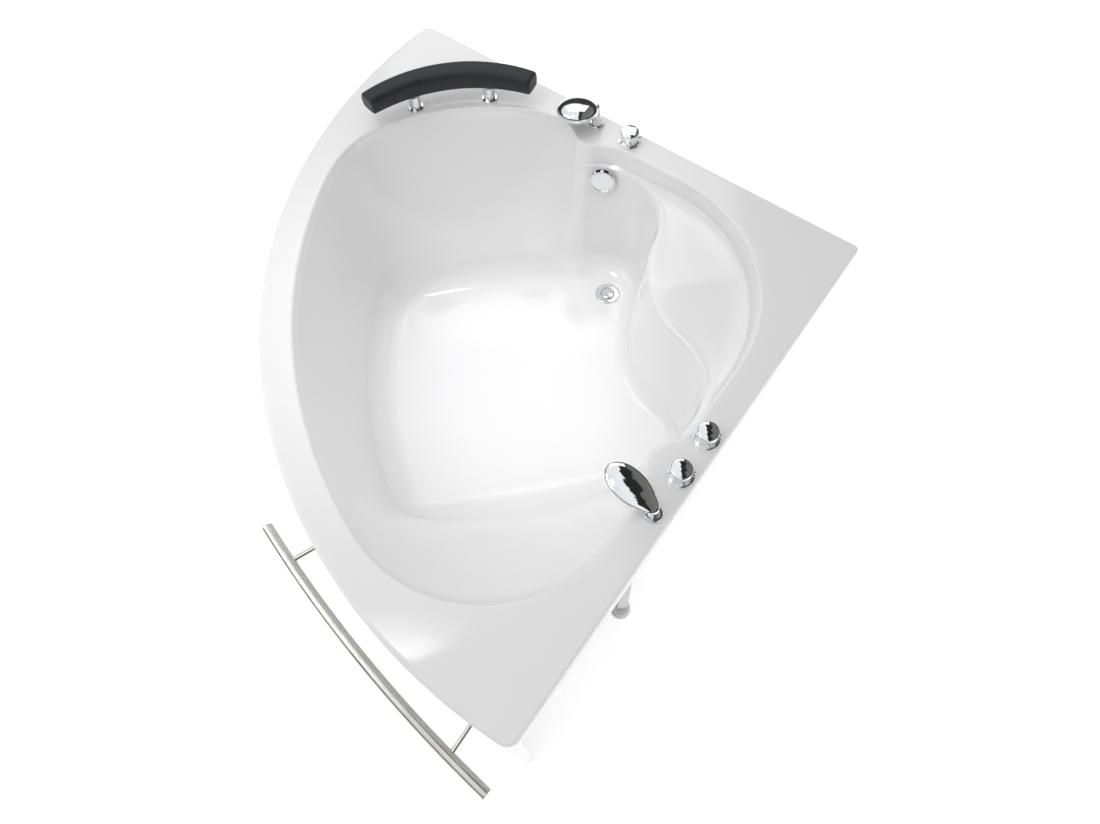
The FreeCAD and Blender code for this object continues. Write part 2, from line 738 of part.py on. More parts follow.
def make_uprights():
    up = UNDER_DECK + " - pad_thick - leg_foot"
    items = []
    for name, out, across in LEGS:
        items.append(tube("upright_" + name, out + " - post_size / 2", across + " + post_size / 2", up,
                          "post_size", "leg_foot", "up"))
    for name, out, across in STUBS:
        items.append(tube("stub_" + name, out + " - post_size / 2", across + " + post_size / 2",
                          RAIL_UNDER + " - leg_foot", "post_size", "leg_foot", "up"))
    way = out_across(1, 0)
    for i, (out, across, height) in enumerate(BRACKETS):
        for j, side in enumerate((-1, 1)):
            start = out_across(value(out), value(across), value(height) + side * size("screw_rise"))
            item = placed_shape("screw_way_%d_%d" % (i, j),
                                Part.makeCylinder(size("screw_radius"), size("post_size"), start, way))
            which = 3 + i // 2
            items[which] = cut("upright_drilled_%d_%d" % (i, j), items[which], item)
    group("frame_uprights", items)


def make_rim_pads():
    top = UNDER_DECK + " - pad_thick"
    group("rim_pads", [box("rim_pad_" + name, "pad_size", "pad_size", "pad_thick",
                           diagonal_place(out + " - pad_size / 2", across + " + pad_size / 2", top), -45)
                       for name, out, across in LEGS])


def make_feet():
    inserts = []
    studs = []
    nuts = []
    feet = []
    for name, out, across in LEGS + STUBS:
        inner = "(post_size - 2 * tube_wall)"
        middle = diagonal_place(out, across, "leg_foot")
        corner = diagonal_place("%s - %s / 2" % (out, inner), "%s + %s / 2" % (across, inner), "leg_foot")
        block = box("insert_block_" + name, inner, inner, "insert_height", corner, -45)
        inserts.append(cut("insert_" + name, block, rod("insert_bore_" + name, "stud_radius",
                                                        "insert_height", middle)))
        studs.append(rod("stud_" + name, "stud_radius", "stud_length",
                         diagonal_place(out, across, "stud_foot")))
        nuts.append(nut("lock_nut_" + name, "nut_flats", "stud_radius", "nut_height",
                        diagonal_place(out, across, "leg_foot - nut_height"), -45))
        base = rod("foot_base_" + name, "foot_radius", "foot_base", diagonal_place(out, across, "0"))
        neck = taper("foot_neck_" + name, "foot_radius", "foot_neck", "foot_height - foot_base",
                     diagonal_place(out, across, "foot_base"))
        well = rod("foot_well_" + name, "stud_radius", "foot_height",
                   diagonal_place(out, across, "stud_foot"))
        feet.append(cut("foot_" + name, fuse("foot_body_" + name, [base, neck]), well))
    group("leg_inserts", inserts)
    group("foot_studs", studs)
    group("foot_nuts", nuts)
    group("foot_pads", feet)


# apron -----------------------------------------------------------------------------------------------------

def apron_inset():
    return size("shell_wall") + size("apron_fit")


def apron_point(angle, radius, z):
    """A point at a radius about the middle of the front arc; angle 0 points along the left wall."""
    centre = size("front_centre")
    return at(centre + radius * math.cos(angle), centre + radius * math.sin(angle), z)


def apron_sheet():
    inset = apron_inset()
    low = size("floor_gap")
    outer, outer_left, outer_back = front_edges(inset, low)
    inner, inner_left, inner_back = front_edges(inset + size("apron_wall"), low)
    edges = outer + inner
    edges.append(Part.LineSegment(outer_left, inner_left).toShape())
    edges.append(Part.LineSegment(outer_back, inner_back).toShape())
    face = Part.Face(Part.Wire(Part.__sortEdges__(edges)))
    return prism(face, size("rim_height") - size("apron_top_gap") - low)


def make_apron():
    sheet = apron_sheet()
    for _, way, start in rail_posts():
        sheet = sheet.cut(Part.makeCylinder(size("rail_stud") + 0.3, 40, start - way * 30, way))
    shape_part("front_apron", sheet)


def make_brackets():
    """Flat bars from the front uprights to the apron, with a foot screwed to the upright and a shoe bonded
    to the apron."""
    inner = size("front_radius") - apron_inset() - size("apron_wall")
    centre = out_across(size("front_centre") / HALF, 0)
    inside = Part.makeCylinder(inner, size("rim_height"), centre)
    shoe_ring = inside.cut(Part.makeCylinder(inner - size("bracket_thick"), size("rim_height"), centre))
    wide = size("bracket_wide")
    thick = size("bracket_thick")
    tall = size("bracket_flange")
    brackets = []
    screws = []
    way = out_across(1, 0)
    for out, across, height in BRACKETS:
        face = value(out) + size("post_size") / 2
        middle = value(across)
        z = value(height)

        def block(start, length, high):
            solid = Part.makeBox(length, wide, high)
            solid.Placement.Rotation = FreeCAD.Rotation(FreeCAD.Vector(0, 0, 1), -45)
            solid.Placement.Base = out_across(start, middle + wide / 2, z - high / 2)
            return solid

        bar = block(face, inner, thick).common(inside)
        foot = block(face, thick, tall)
        shoe = block(face, inner, tall).common(shoe_ring)
        solid = bar.fuse(foot).fuse(shoe).removeSplitter()
        for side in (-1, 1):
            start = out_across(face + thick, middle, z + side * size("screw_rise"))
            drill = Part.makeCylinder(size("screw_radius"), 2 * thick, start + way * thick, way * -1)
            solid = solid.cut(drill)
            wide_end = size("screw_head")
            head = Part.makeCone(wide_end, wide_end * 0.7, size("screw_head_height"), start, way)
            shank = Part.makeCylinder(size("screw_radius"), size("screw_length"), start, way * -1)
            screws.append(head.fuse(shank).removeSplitter())
        brackets.append(solid)
    shape_part("apron_brackets", Part.makeCompound(brackets))
    shape_part("apron_screws", Part.makeCompound(screws))


# pipes -----------------------------------------------------------------------------------------------------

def pipe_solid(points, radius, bend):
    """A round bar along a polyline whose corners are rounded by the bend radius."""
    edges = []
    start = points[0]
    for before, corner, after in zip(points, points[1:], points[2:]):
        back = (before - corner).normalize()
        ahead = (after - corner).normalize()
        half = back.getAngle(ahead) / 2
        step = bend / math.tan(half)
        first = corner + back * step
        last = corner + ahead * step
        centre = corner + (back + ahead).normalize() * (bend / math.sin(half))
        middle = centre + (corner - centre).normalize() * bend
        edges.append(Part.LineSegment(start, first).toShape())
        edges.append(Part.Arc(first, middle, last).toShape())
        start = last
    edges.append(Part.LineSegment(start, points[-1]).toShape())
    path = Part.Wire(edges)
    circle = Part.Wire([Part.makeCircle(radius, points[0], points[1] - points[0])])
    return path.makePipeShell([circle], True, True)


def pipe(points, radius, wall, bend):
    return pipe_solid(points, radius, bend).cut(pipe_solid(points, radius - wall, bend))


def left_wall(along, off, drop):
    return at(along, off, size("rim_height") - drop)


def back_wall(along, off, drop):
    return at(off, along, size("rim_height") - drop)


def pipe_runs():
    """Corner points of the two pipes that go round the wall corner under the deck."""
    face = size("station_near") - size("hex_flats") / 2
    mixed = (size("mixed_off"), size("mixed_drop"))
    spout = (size("spout_off"), size("spout_drop"))
    lower = size("hex_top") + size("hex_height") + size("link_radius") + 8
    near_wall = size("return_off")
    far = size("station_far")
    own = size("station_off")
    bottom = size("spout_shank")
    return ([left_wall(face, *mixed), left_wall(mixed[0], *mixed), back_wall(face, *mixed)],
            [left_wall(face, *spout), left_wall(spout[0], *spout), back_wall(face - 60, *spout),
             back_wall(face - 25, near_wall, lower), back_wall(far - 40, near_wall, lower),
             back_wall(far, own, lower), back_wall(far, own, bottom)])


def make_pipes():
    radius = size("link_radius")
    wall = size("link_wall")
    mixed, spout = pipe_runs()
    half = size("hex_flats") / 2
    own = size("station_off")
    level = size("hex_top") + size("hex_height") / 2
    link = pipe_between(back_wall(size("station_near") + half, own, level),
                        back_wall(size("station_mid") - half, own, level))
    shape_part("mixed_pipe", Part.makeCompound([pipe(mixed, radius, wall, size("link_bend")), link]))
    shape_part("spout_pipe", pipe(spout, radius, wall, 17))
    start = size("station_near") + half
    shape_part("shower_pipe", pipe([left_wall(start, own, level), left_wall(start + 34, own, level),
                                    left_wall(start + 34, own, level + 52)], radius, wall, 16))
    clips = []
    for side in (left_wall, back_wall):
        for along in (size("clip_near"), size("clip_far")):
            low = size("spout_drop") + radius + 4
            corner = side(along, size("clip_from"), low)
            other = side(along + size("clip_thick"), size("clip_to"), size("shell_wall"))
            base = FreeCAD.Vector(min(corner.x, other.x), min(corner.y, other.y), corner.z)
            block = Part.makeBox(abs(other.x - corner.x), abs(other.y - corner.y), other.z - corner.z, base)
            for off, drop in ((size("mixed_off"), size("mixed_drop")),
                              (size("spout_off"), size("spout_drop"))):
                first = side(along - 5, off, drop)
                last = side(along + size("clip_thick") + 5, off, drop)
                block = block.cut(Part.makeCylinder(radius, (last - first).Length, first, last - first))
            clips.append(block)
    shape_part("pipe_clips", Part.makeCompound(clips))


def pipe_between(first, last):
    way = last - first
    outer = Part.makeCylinder(size("link_radius"), way.Length, first, way)
    return outer.cut(Part.makeCylinder(size("link_radius") - size("link_wall"), way.Length, first, way))


# drain, trap and overflow ----------------------------------------------------------------------------------

DRAIN_TOP = "rim_height - basin_depth"
WASTE_TOP = FLOOR_UNDER + " - seal_thick"


def at_drain(z):
    return diagonal_place("drain_out", "drain_across", z)


def relief_path():
    """The overflow's pipe: down from the cup behind the wall, then level to the waste body."""
    cup = OVERFLOW - OVERFLOW_WAY * (size("overflow_seal_back") + size("overflow_cup_deep") / 2)
    height = size("rim_height") - size("basin_depth") - size("relief_drop")
    return cup, FreeCAD.Vector(cup.x, cup.y, height), drain_point(height)


def make_drain():
    ring = "drain_ring_thick"
    depth = "spigot_length"
    keep(turned("waste_flange", [
        ("drain_bore", "0"), ("drain_spigot", "0"), ("drain_spigot", depth), ("drain_ring", depth),
        ("drain_ring", depth + " + %s / 2" % ring), ("drain_ring - 1.5", depth + " + " + ring),
        ("drain_bore + 1.5", depth + " + " + ring), ("drain_bore", depth + " + %s / 2" % ring)],
        at_drain("%s - spigot_length" % DRAIN_TOP)))
    keep(washer("waste_seal", "waste_radius", "drain_spigot", "seal_thick", at_drain(WASTE_TOP)))
    stem_hole = "stem_radius + stem_play"
    low = WASTE_TOP + " - waste_height"
    cup = turned("waste_cup", [
        ("drain_bore - 2", "0"), ("waste_radius", "0"), ("waste_radius", "waste_height"),
        ("drain_spigot", "waste_height"),
        ("drain_spigot", "waste_height + shell_wall + seal_thick - spigot_length"),
        ("drain_bore", "waste_height + shell_wall + seal_thick - spigot_length"),
        ("drain_bore", "waste_height / 3"), ("drain_bore - 2", "waste_height / 3")], at_drain(low))
    bridge = box("waste_bridge", "2 * drain_bore - 2", "bridge_wide", "bridge_thick",
                 diagonal_place("drain_out - drain_bore + 1", "drain_across + bridge_wide / 2",
                                low + " + waste_height / 3 - bridge_thick"), -45)
    guide = rod("stem_guide", stem_hole, "waste_height", at_drain(low))
    cup_low, bend, middle = relief_path()
    port = placed_shape("relief_port", Part.makeCylinder(size("relief_radius"), 60, middle, bend - middle))
    body = cut("waste_bored", fuse("waste_joined", [cup, bridge]), guide)
    keep(cut("waste_body", body, port))
    keep(turned("drain_plug", [
        ("0", "0"), ("stem_radius", "0"), ("stem_radius", "stem_length"), ("plug_radius - 3", "stem_length"),
        ("plug_radius", "stem_length + 2"), ("plug_radius", "stem_length + plug_thick - 1"),
        ("plug_radius - 2", "stem_length + plug_thick"), ("0", "stem_length + plug_thick + plug_dome")],
        at_drain("%s + drain_ring_thick - plug_thick - stem_length" % DRAIN_TOP)))
    trap_low = low + " - trap_height"
    trap = turned("trap_cup", [
        ("0", "0"), ("trap_radius - 4", "0"), ("trap_radius", "4"), ("trap_radius", "trap_height"),
        ("drain_bore - 2", "trap_height"), ("drain_bore - 2", "trap_height - trap_wall"),
        ("trap_radius - trap_wall", "trap_height - trap_wall - 4"), ("trap_radius - trap_wall", "trap_wall"),
        ("0", "trap_wall")], at_drain(trap_low))
    x, y, _ = at_drain("0")
    z = trap_low + " + outlet_rise"

    def level_rod(label, radius, length, away):
        item = rod(label, radius, length, ("(%s) - (%s)" % (x, away), y, z))
        item.Placement.Rotation = FreeCAD.Rotation(FreeCAD.Vector(0, 1, 0), -90)
        return item

    keep(cut("waste_trap", trap, level_rod("trap_port", "outlet_radius", "trap_radius", "trap_radius / 2")))
    outer = level_rod("tail_outside", "outlet_radius", "outlet_reach", "trap_radius - trap_wall")
    inner = level_rod("tail_inside", "outlet_radius - outlet_wall", "outlet_reach", "trap_radius - trap_wall")
    nut_ring = level_rod("tail_collar", "outlet_collar", "outlet_collar_long", "trap_radius")
    keep(cut("waste_tail", fuse("tail_joined", [outer, nut_ring]), inner))


def make_overflow():
    point = OVERFLOW
    way = OVERFLOW_WAY

    def disc(radius, first, last):
        return Part.makeCylinder(radius, last - first, point + way * first, way)

    back = size("overflow_seal_back")
    cup_deep = size("overflow_cup_deep")
    collar = size("overflow_collar_thick")
    inside = basin_solid(0, size("rim_height") + 2)
    outside = basin_solid(size("shell_wall"), size("rim_height") + 2)
    neck = size("overflow_neck")
    cup = disc(size("overflow_cup"), -back - cup_deep, -back)
    hollow = disc(size("overflow_cup") - 4, -back - cup_deep + 4, -back - 4)
    body = cup.cut(hollow).fuse(disc(neck, -back - 4, collar)).cut(disc(size("overflow_bore"), -back - 6, 40))
    half_spoke = size("overflow_bore") + 1
    spoke = Part.makeBox(10, 2 * half_spoke, 8, FreeCAD.Vector(-5, -half_spoke, 0))
    spoke.Placement = FreeCAD.Placement(point + way * (-back), FreeCAD.Rotation(FreeCAD.Vector(0, 0, 1), way))
    body = body.fuse(spoke).removeSplitter()
    body = body.cut(disc(size("axle_radius") + size("spindle_play"), -back - 5, 40))
    relief_start, relief_bend, relief_end = relief_path()
    down = Part.makeCylinder(size("relief_radius"), 60, relief_start, FreeCAD.Vector(0, 0, -1))
    body = body.cut(down)
    shape_part("overflow_body", body)
    seal = disc(size("overflow_cup"), -back, 0).cut(disc(neck, -back - 1, 1)).cut(outside)
    shape_part("overflow_seal", seal.Solids[0])
    ring = disc(size("overflow_collar"), -back, collar).common(inside).cut(disc(neck, -back - 1, collar + 1))
    shape_part("overflow_collar", ring.Solids[0])
    gap = size("overflow_gap")
    thick = size("overflow_disc_thick")
    knob = disc(size("overflow_disc"), collar + gap, collar + gap + thick)
    rims = [edge for edge in knob.Edges if abs(edge.Length - 2 * math.pi * size("overflow_disc")) < 1]
    knob = knob.makeFillet(2.5, rims)
    axle = disc(size("axle_radius"), collar + gap + thick / 2 - size("axle_length"), collar + gap + thick / 2)
    knob = knob.cut(axle)
    sideways = FreeCAD.Vector(0, 0, 1).cross(way).normalize()
    upwards = way.cross(sideways)
    for side in (-1, 1):
        slot = Part.makeBox(12, 5, 9, FreeCAD.Vector(-6, -2.5, 0))
        turn = math.radians(side * 24)
        ray = upwards * math.cos(turn) + sideways * math.sin(turn)
        place = point + way * (collar + gap) + ray * (size("overflow_disc") - 2)
        axes = FreeCAD.Rotation(ray.cross(way) * -1, ray, way, "ZXY")
        slot.Placement = FreeCAD.Placement(place, axes)
        knob = knob.cut(slot)
    shape_part("overflow_knob", knob.Solids[0])
    shape_part("overflow_axle", axle)
    radius = size("relief_radius")
    wall = size("relief_wall")
    path = [relief_start, relief_bend, relief_end]
    cup_hull = disc(size("overflow_cup"), -back - cup_deep, -back)
    waste = Part.makeCylinder(size("waste_radius") - size("trap_wall"), 200, drain_point(40))
    relief = pipe_solid(path, radius, 40).cut(pipe_solid(path, radius - wall, 40))
    relief = relief.cut(disc(size("overflow_cup") - 4, -back - cup_deep, -back)).cut(waste)
    shape_part("overflow_pipe", longest(relief))
    level = (relief_end - relief_bend)
    level.z = 0
    aside = FreeCAD.Vector(0, 0, 1).cross(level.normalize()) * size("cable_aside")
    drop = FreeCAD.Vector(0, 0, size("relief_drop") - size("cable_drop"))
    cable = pipe_solid([relief_start + aside, relief_bend + aside + drop, relief_end + aside + drop],
                       size("cable_radius"), 30)
    cable = cable.cut(cup_hull).cut(Part.makeCylinder(size("waste_radius"), 200, drain_point(40)))
    shape_part("plug_cable", longest(cable))


def longest(shape):
    """The largest of the solids that a cut has left."""
    return sorted(shape.Solids, key=lambda solid: solid.Volume)[-1]


# valves and knobs ------------------------------------------------------------------------------------------

def make_valve_rings():
    rings = []
    for name in ("hot", "cold", "diverter"):
        rings.append(turned("ring_" + name, [
            ("shank_radius", "0"), ("ring_radius", "0"), ("ring_radius", "ring_step_thick"),
            ("ring_step", "ring_step_thick"), ("ring_step", "ring_thick"), ("shank_radius", "ring_thick")],
            over(STATIONS[name], "0")))
    group("valve_base_rings", rings)


def make_valve(name, label):
    station = STATIONS[name]
    turn = 30 if station[0] != "station_off" else 0
    hex_low = "hex_top + hex_height"
    hull = fuse(name + "_hull", [
        hexagon(name + "_hex", "hex_flats", "hex_height", over(station, "0 - (%s)" % hex_low), turn),
        rod(name + "_neck", "shank_radius", "hex_top + ring_thick", over(station, "0 - hex_top")),
        rod(name + "_tail", "tail_radius", "tail_length", over(station, "0 - (%s) - tail_length" % hex_low))])
    bores = fuse(name + "_bores", [
        rod(name + "_spindle_bore", "spindle_radius + spindle_play", "spindle_deep + 1",
            over(station, "ring_thick - spindle_deep - 0.5")),
        rod(name + "_tail_bore", "tail_bore", "tail_length + hex_height / 2",
            over(station, "0 - (%s) - tail_length" % hex_low))])
    keep(cut(label, hull, bores))


def make_deck_nuts():
    """Washers and nuts that clamp the five deck fittings from below."""
    washers = []
    nuts = []
    for name, station in STATIONS.items():
        washers.append(washer("washer_" + name, "washer_radius", "shank_radius", "washer_thick",
                              over(station, "0 - shell_wall - washer_thick")))
        nuts.append(nut("nut_" + name, "deck_nut_flats", "shank_radius", "deck_nut_height",
                        over(station, "0 - shell_wall - washer_thick - deck_nut_height")))
    group("deck_washers", washers)
    group("deck_nuts", nuts)


def make_knob(name):
    station = STATIONS[name]
    start = "ring_thick + knob_gap"
    body = turned(name + "_knob_body", [
        ("spindle_radius", "0"), ("knob_radius", "0"), ("knob_radius", "knob_height - knob_edge"),
        ("knob_radius - knob_edge", "knob_height"), ("knob_radius / 2", "knob_height + knob_dome * 0.75"),
        ("0", "knob_height + knob_dome"), ("0", "spindle_rise"), ("spindle_radius", "spindle_rise")],
        over(station, start))
    nubs = []
    for i in range(4):
        nub = rod("%s_nub_%d" % (name, i), "nub_radius", "knob_radius + nub_reach - spindle_radius - 4",
                  over(station, start + " + nub_rise"))
        bearing = math.radians(size("nub_turn") + 90 * i)
        way = FreeCAD.Vector(math.cos(bearing), math.sin(bearing), 0)
        nub.Placement.Rotation = FreeCAD.Rotation(FreeCAD.Vector(0, 0, 1), way)
        shift = "%s + (spindle_radius + 4) * (%.9f)"
        bind(nub, Place=(shift % (station[0], way.x), shift % (station[1], way.y),
                         "%s + %s + nub_rise" % (DECK, start)))
        nubs.append(nub)
    keep(fuse(name + "_knob", [body] + nubs))
    keep(rod(name + "_spindle", "spindle_radius", "spindle_deep + spindle_rise + knob_gap",
             over(station, "ring_thick - spindle_deep")))


# spout -----------------------------------------------------------------------------------------------------

def spout_half_width(t):
    """Half width of the leaf, from its narrow end (0) to its round tip (1)."""
    wide = size("spout_wide")
    widest = size("spout_widest")
    if t <= widest:
        swell = t / widest
        return wide * (0.30 + 0.70 * math.sin(swell * math.pi / 2) ** 1.05)
    return wide * math.sqrt(max(0.0, 1 - ((t - widest) / (1 - widest)) ** 2.2))


def make_spout():
    back = size("station_off") - size("spout_back")
    length = size("spout_length") + size("spout_back")
    along = size("station_far")
    sections = []
    for t in (0.006, 0.03, 0.09, 0.2, 0.35, 0.5, 0.62, 0.72, 0.82, 0.9, 0.955, 0.985, 0.998):
        start = 1.0
        if t < 0.09:
            start = math.sqrt(1 - (1 - t / 0.09) ** 2)
        half = spout_half_width(t) * start
        thick = size("spout_thick") / 2 * start * min(1.0, (half / size("spout_wide")) ** 0.5 + 0.08)
        rise = size("rim_height") + size("spout_rise") + 3 * math.sin(math.pi * t) - 5 * t
        centre = FreeCAD.Vector(along, -back - length * t, rise)
        if half >= thick:
            aside = FreeCAD.Vector(half, 0, 0)
        else:
            aside = FreeCAD.Vector(thick + 0.01, 0, 0)
        ellipse = Part.Ellipse(centre + aside, centre + FreeCAD.Vector(0, 0, thick), centre)
        sections.append(Part.Wire([ellipse.toShape()]))
    leaf = Part.makeLoft(sections, True, False)
    base = FreeCAD.Vector(along, -size("station_off"), size("rim_height") + size("spout_ring_thick"))
    neck = Part.makeCylinder(size("spout_neck"), size("spout_rise") - size("spout_ring_thick"), base)
    tip = FreeCAD.Vector(along - size("spout_slot") / 2, -back - length * 0.9, size("rim_height"))
    mouth = Part.makeBox(size("spout_slot"), 14, size("spout_rise") - 4, tip)
    body = leaf.fuse(neck).cut(mouth).removeSplitter().Solids[0]
    body.rotate(base, FreeCAD.Vector(0, 0, 1), -size("spout_turn"))
    shape_part("spout_body", body)
    keep(turned("spout_base_ring", [
        ("link_radius - link_wall", "0"), ("shank_radius", "0"), ("shank_radius", "spout_shank"),
        ("spout_ring", "spout_shank"), ("spout_ring", "spout_shank + spout_ring_thick - 1.5"),
        ("spout_ring - 1.5", "spout_shank + spout_ring_thick"),
        ("link_radius - link_wall", "spout_shank + spout_ring_thick")], over(SPOUT, "0 - spout_shank")))


# hand shower -----------------------------------------------------------------------------------------------

def make_hand_shower():
    bore = "handle_radius + handle_play"
    low = "socket_length - socket_ring_thick"
    keep(turned("shower_socket", [
        (bore, "0"), ("shank_radius", "0"), ("shank_radius", low), ("socket_ring", low),
        ("socket_ring", "socket_length - 2"), ("socket_ring - 2", "socket_length"), (bore, "socket_length")],
        over(SHOWER, "socket_ring_thick - socket_length")))
    keep(turned("shower_spigot", [
        ("hose_tail_radius - 3", "0"), ("hose_tail_radius", "0"), ("hose_tail_radius", "hose_tail"),
        ("handle_radius", "hose_tail"), ("handle_radius", "hose_tail + handle_deep"),
        ("hose_tail_radius - 3", "hose_tail + handle_deep")],
        over(SHOWER, "socket_ring_thick - handle_deep - hose_tail")))
    rise = size("rim_height")
    foot = FreeCAD.Vector(size("station_off"), -size("station_mid"), rise + size("socket_ring_thick"))
    centre = foot + FreeCAD.Vector(size("head_off_x"), -size("head_off_y"), 0)
    centre.z = rise + size("head_rise")
    radius = size("head_radius")
    rim = size("head_rim")
    dome = size("head_dome")
    under = size("head_under")
    step = size("head_step")
    inner = radius - 1 - 3 * step
    steps = [FreeCAD.Vector(aside, 0, up) for aside, up in (
        (0, -under), (inner, -under), (inner, -under * 0.6), (inner + step, -under * 0.6),
        (inner + step, -under * 0.25), (inner + 2 * step, -under * 0.25), (inner + 2 * step, under * 0.2),
        (radius - 1, under * 0.2), (radius - 1, rim - 3), (radius, rim - 2), (radius, rim))]
    edges = [Part.LineSegment(first, last).toShape() for first, last in zip(steps, steps[1:])]
    swell = FreeCAD.Vector(radius * 0.78, 0, rim + dome * 0.58)
    top = FreeCAD.Vector(0, 0, rim + dome)
    curve = Part.BSplineCurve()
    ways = [FreeCAD.Vector(-0.1, 0, 1), FreeCAD.Vector(-1, 0, 0.6), FreeCAD.Vector(-1, 0, 0)]
    curve.interpolate(Points=[steps[-1], swell, top], Tangents=ways, TangentFlags=[True, True, True],
                      Scale=False)
    edges.append(curve.toShape())
    edges.append(Part.LineSegment(top, steps[0]).toShape())
    head = Part.Face(Part.Wire(edges)).revolve(FreeCAD.Vector(0, 0, 0), FreeCAD.Vector(0, 0, 1), 360)
    face = Part.makeCylinder(size("face_radius"), size("face_thick"), FreeCAD.Vector(0, 0, -under - 2))
    bearing = math.radians(size("head_lean"))
    hinge = FreeCAD.Vector(-math.sin(bearing), math.cos(bearing), 0)
    for shape in (head, face):
        shape.rotate(FreeCAD.Vector(0, 0, 0), hinge, size("head_tilt"))
        shape.translate(centre)
    neck_top = centre.z + rim + 4
    neck = Part.makeCone(size("neck_low"), size("neck_high"), neck_top - foot.z, foot)
    crown = Part.makeSphere(size("neck_high"), FreeCAD.Vector(foot.x, foot.y, neck_top))
    head = head.fuse([neck, crown]).removeSplitter()
    shape_part("shower_head", head.cut(face).Solids[0])
    shape_part("shower_face", face)


# headrest --------------------------------------------------------------------------------------------------

def headrest_corner(wide, high, bow, side_bow, round_off, level):
    """Where a corner arc starts on the bowed top (or bottom), its middle and where it ends on the side."""
    top_centre = (0.0, high - bow)
    side_centre = (wide - side_bow, 0.0)
    x = wide - round_off
    y = high - round_off
    for _ in range(40):
        y = top_centre[1] + math.sqrt((bow - round_off) ** 2 - x ** 2)
        x = side_centre[0] + math.sqrt((side_bow - round_off) ** 2 - y ** 2)
    up = ((x - top_centre[0]) / (bow - round_off), (y - top_centre[1]) / (bow - round_off))
    out = ((x - side_centre[0]) / (side_bow - round_off), (y - side_centre[1]) / (side_bow - round_off))
    both = math.hypot(up[0] + out[0], up[1] + out[1])
    ways = (up, ((up[0] + out[0]) / both, (up[1] + out[1]) / both), out)
    return [(x + way[0] * round_off, level * (y + way[1] * round_off)) for way in ways]


def headrest_section(turn, inset):
    """The cushion's crowned section at an angle along its arc, drawn in by inset."""
    taper = 1 - size("rest_taper") * (turn / size("rest_half_angle")) ** 2
    wide = size("rest_half_width") * taper - inset
    high = size("rest_height") / 2 * taper - inset
    side_bow = high ** 2 / (2 * size("rest_side_swell") * taper)
    top_bow = wide ** 2 / (2 * size("rest_crown") * taper)
    low_bow = wide ** 2 / (2 * size("rest_belly") * taper)
    top = headrest_corner(wide, high, top_bow, side_bow, size("rest_round"), 1)
    low = headrest_corner(wide, high, low_bow, side_bow, size("rest_low_round"), -1)
    right = [(0, high)] + top + [(wide, 0)] + low[::-1] + [(0, -high)]
    loop = right + [(-x, y) for x, y in right[-2:0:-1]]
    centre = out_across(size("rest_centre_out"), size("rest_post_across") - size("rest_set_back"))
    middle = size("rim_height") + size("rest_low") + size("rest_height") / 2
    ray = FreeCAD.Rotation(FreeCAD.Vector(0, 0, 1), turn).multVec(out_across(0, 1))
    points = [centre + ray * (size("rest_radius") + x) + FreeCAD.Vector(0, 0, middle + y) for x, y in loop]
    edges = []
    for i in range(1, len(points), 2):
        edges.append(Part.Arc(points[i], points[i + 1 - len(points)], points[i + 2 - len(points)]).toShape())
    return Part.Wire(edges)


def make_headrest():
    low = size("rim_height") + size("rest_low")
    last = size("rest_half_angle")
    end = size("rest_end_round")
    per_mm = math.degrees(1 / size("rest_radius"))
    stations = [(last, end), (last - 0.12 * end * per_mm, 0.53 * end), (last - 0.4 * end * per_mm, 0.2 * end),
                (last - end * per_mm, 0.0)]
    inner = stations[-1][0]
    stations += [(inner * i / 5, 0.0) for i in range(4, -5, -1)]
    stations += [(-turn, inset) for turn, inset in stations[3::-1]]
    block = Part.makeLoft([headrest_section(turn, inset) for turn, inset in stations], True, False)
    plates = []
    for side in (-1, 1):
        out = size("rest_centre_out") + side * size("rest_post_gap") / 2
        wide = size("rest_plate_wide")
        plate = Part.makeBox(wide, wide, size("rest_plate"))
        plate.Placement.Rotation = FreeCAD.Rotation(FreeCAD.Vector(0, 0, 1), -45)
        plate.Placement.Base = out_across(out - wide / 2, size("rest_post_across") + wide / 2, low)
        plates.append(plate)
    for plate in plates:
        block = block.cut(plate)
    shape_part("pillow_cushion", block.Solids[0])
    shape_part("pillow_plates", Part.makeCompound(plates))
    posts = []
    rings = []
    nuts = []
    for side, sign in (("foot", "-"), ("head", "+")):
        out = "rest_centre_out %s rest_post_gap / 2" % sign

        def place(height):
            return diagonal_place(out, "rest_post_across", "%s + %s" % (DECK, height))

        posts.append(turned("post_" + side, [
            ("0", "0"), ("rest_stud", "0"), ("rest_stud", "rest_stud_length"),
            ("rest_post_radius", "rest_stud_length"),
            ("rest_post_radius", "rest_stud_length + rest_low - rest_ring_thick"),
            ("0", "rest_stud_length + rest_low - rest_ring_thick")],
            place("rest_ring_thick - rest_stud_length")))
        rings.append(washer("post_ring_" + side, "rest_ring", "rest_stud", "rest_ring_thick", place("0")))
        nuts.append(fuse("post_nut_" + side, [
            nut("post_hex_" + side, "rest_nut_flats", "rest_stud", "rest_nut_height",
                place("0 - shell_wall - washer_thick / 2 - rest_nut_height")),
            washer("post_washer_" + side, "rest_post_radius", "rest_stud", "washer_thick / 2",
                   place("0 - shell_wall - washer_thick / 2"))]))
    group("pillow_posts", posts)
    group("pillow_base_rings", rings)
    group("pillow_nuts", nuts)


# grab rail -------------------------------------------------------------------------------------------------

def rail_centre():
    angle = math.radians(size("rail_middle"))
    return apron_point(angle, size("rail_stand") - size("rail_bow"), size("rim_height") - size("rail_drop"))


def rail_point(side_way, radius):
    """A point of the rail's arc, side_way millimetres to one side of its middle."""
    angle = math.radians(size("rail_middle")) + math.asin(side_way / size("rail_bow"))
    reach = FreeCAD.Vector(math.sin(angle), -math.cos(angle), 0)
    return rail_centre() + reach * radius


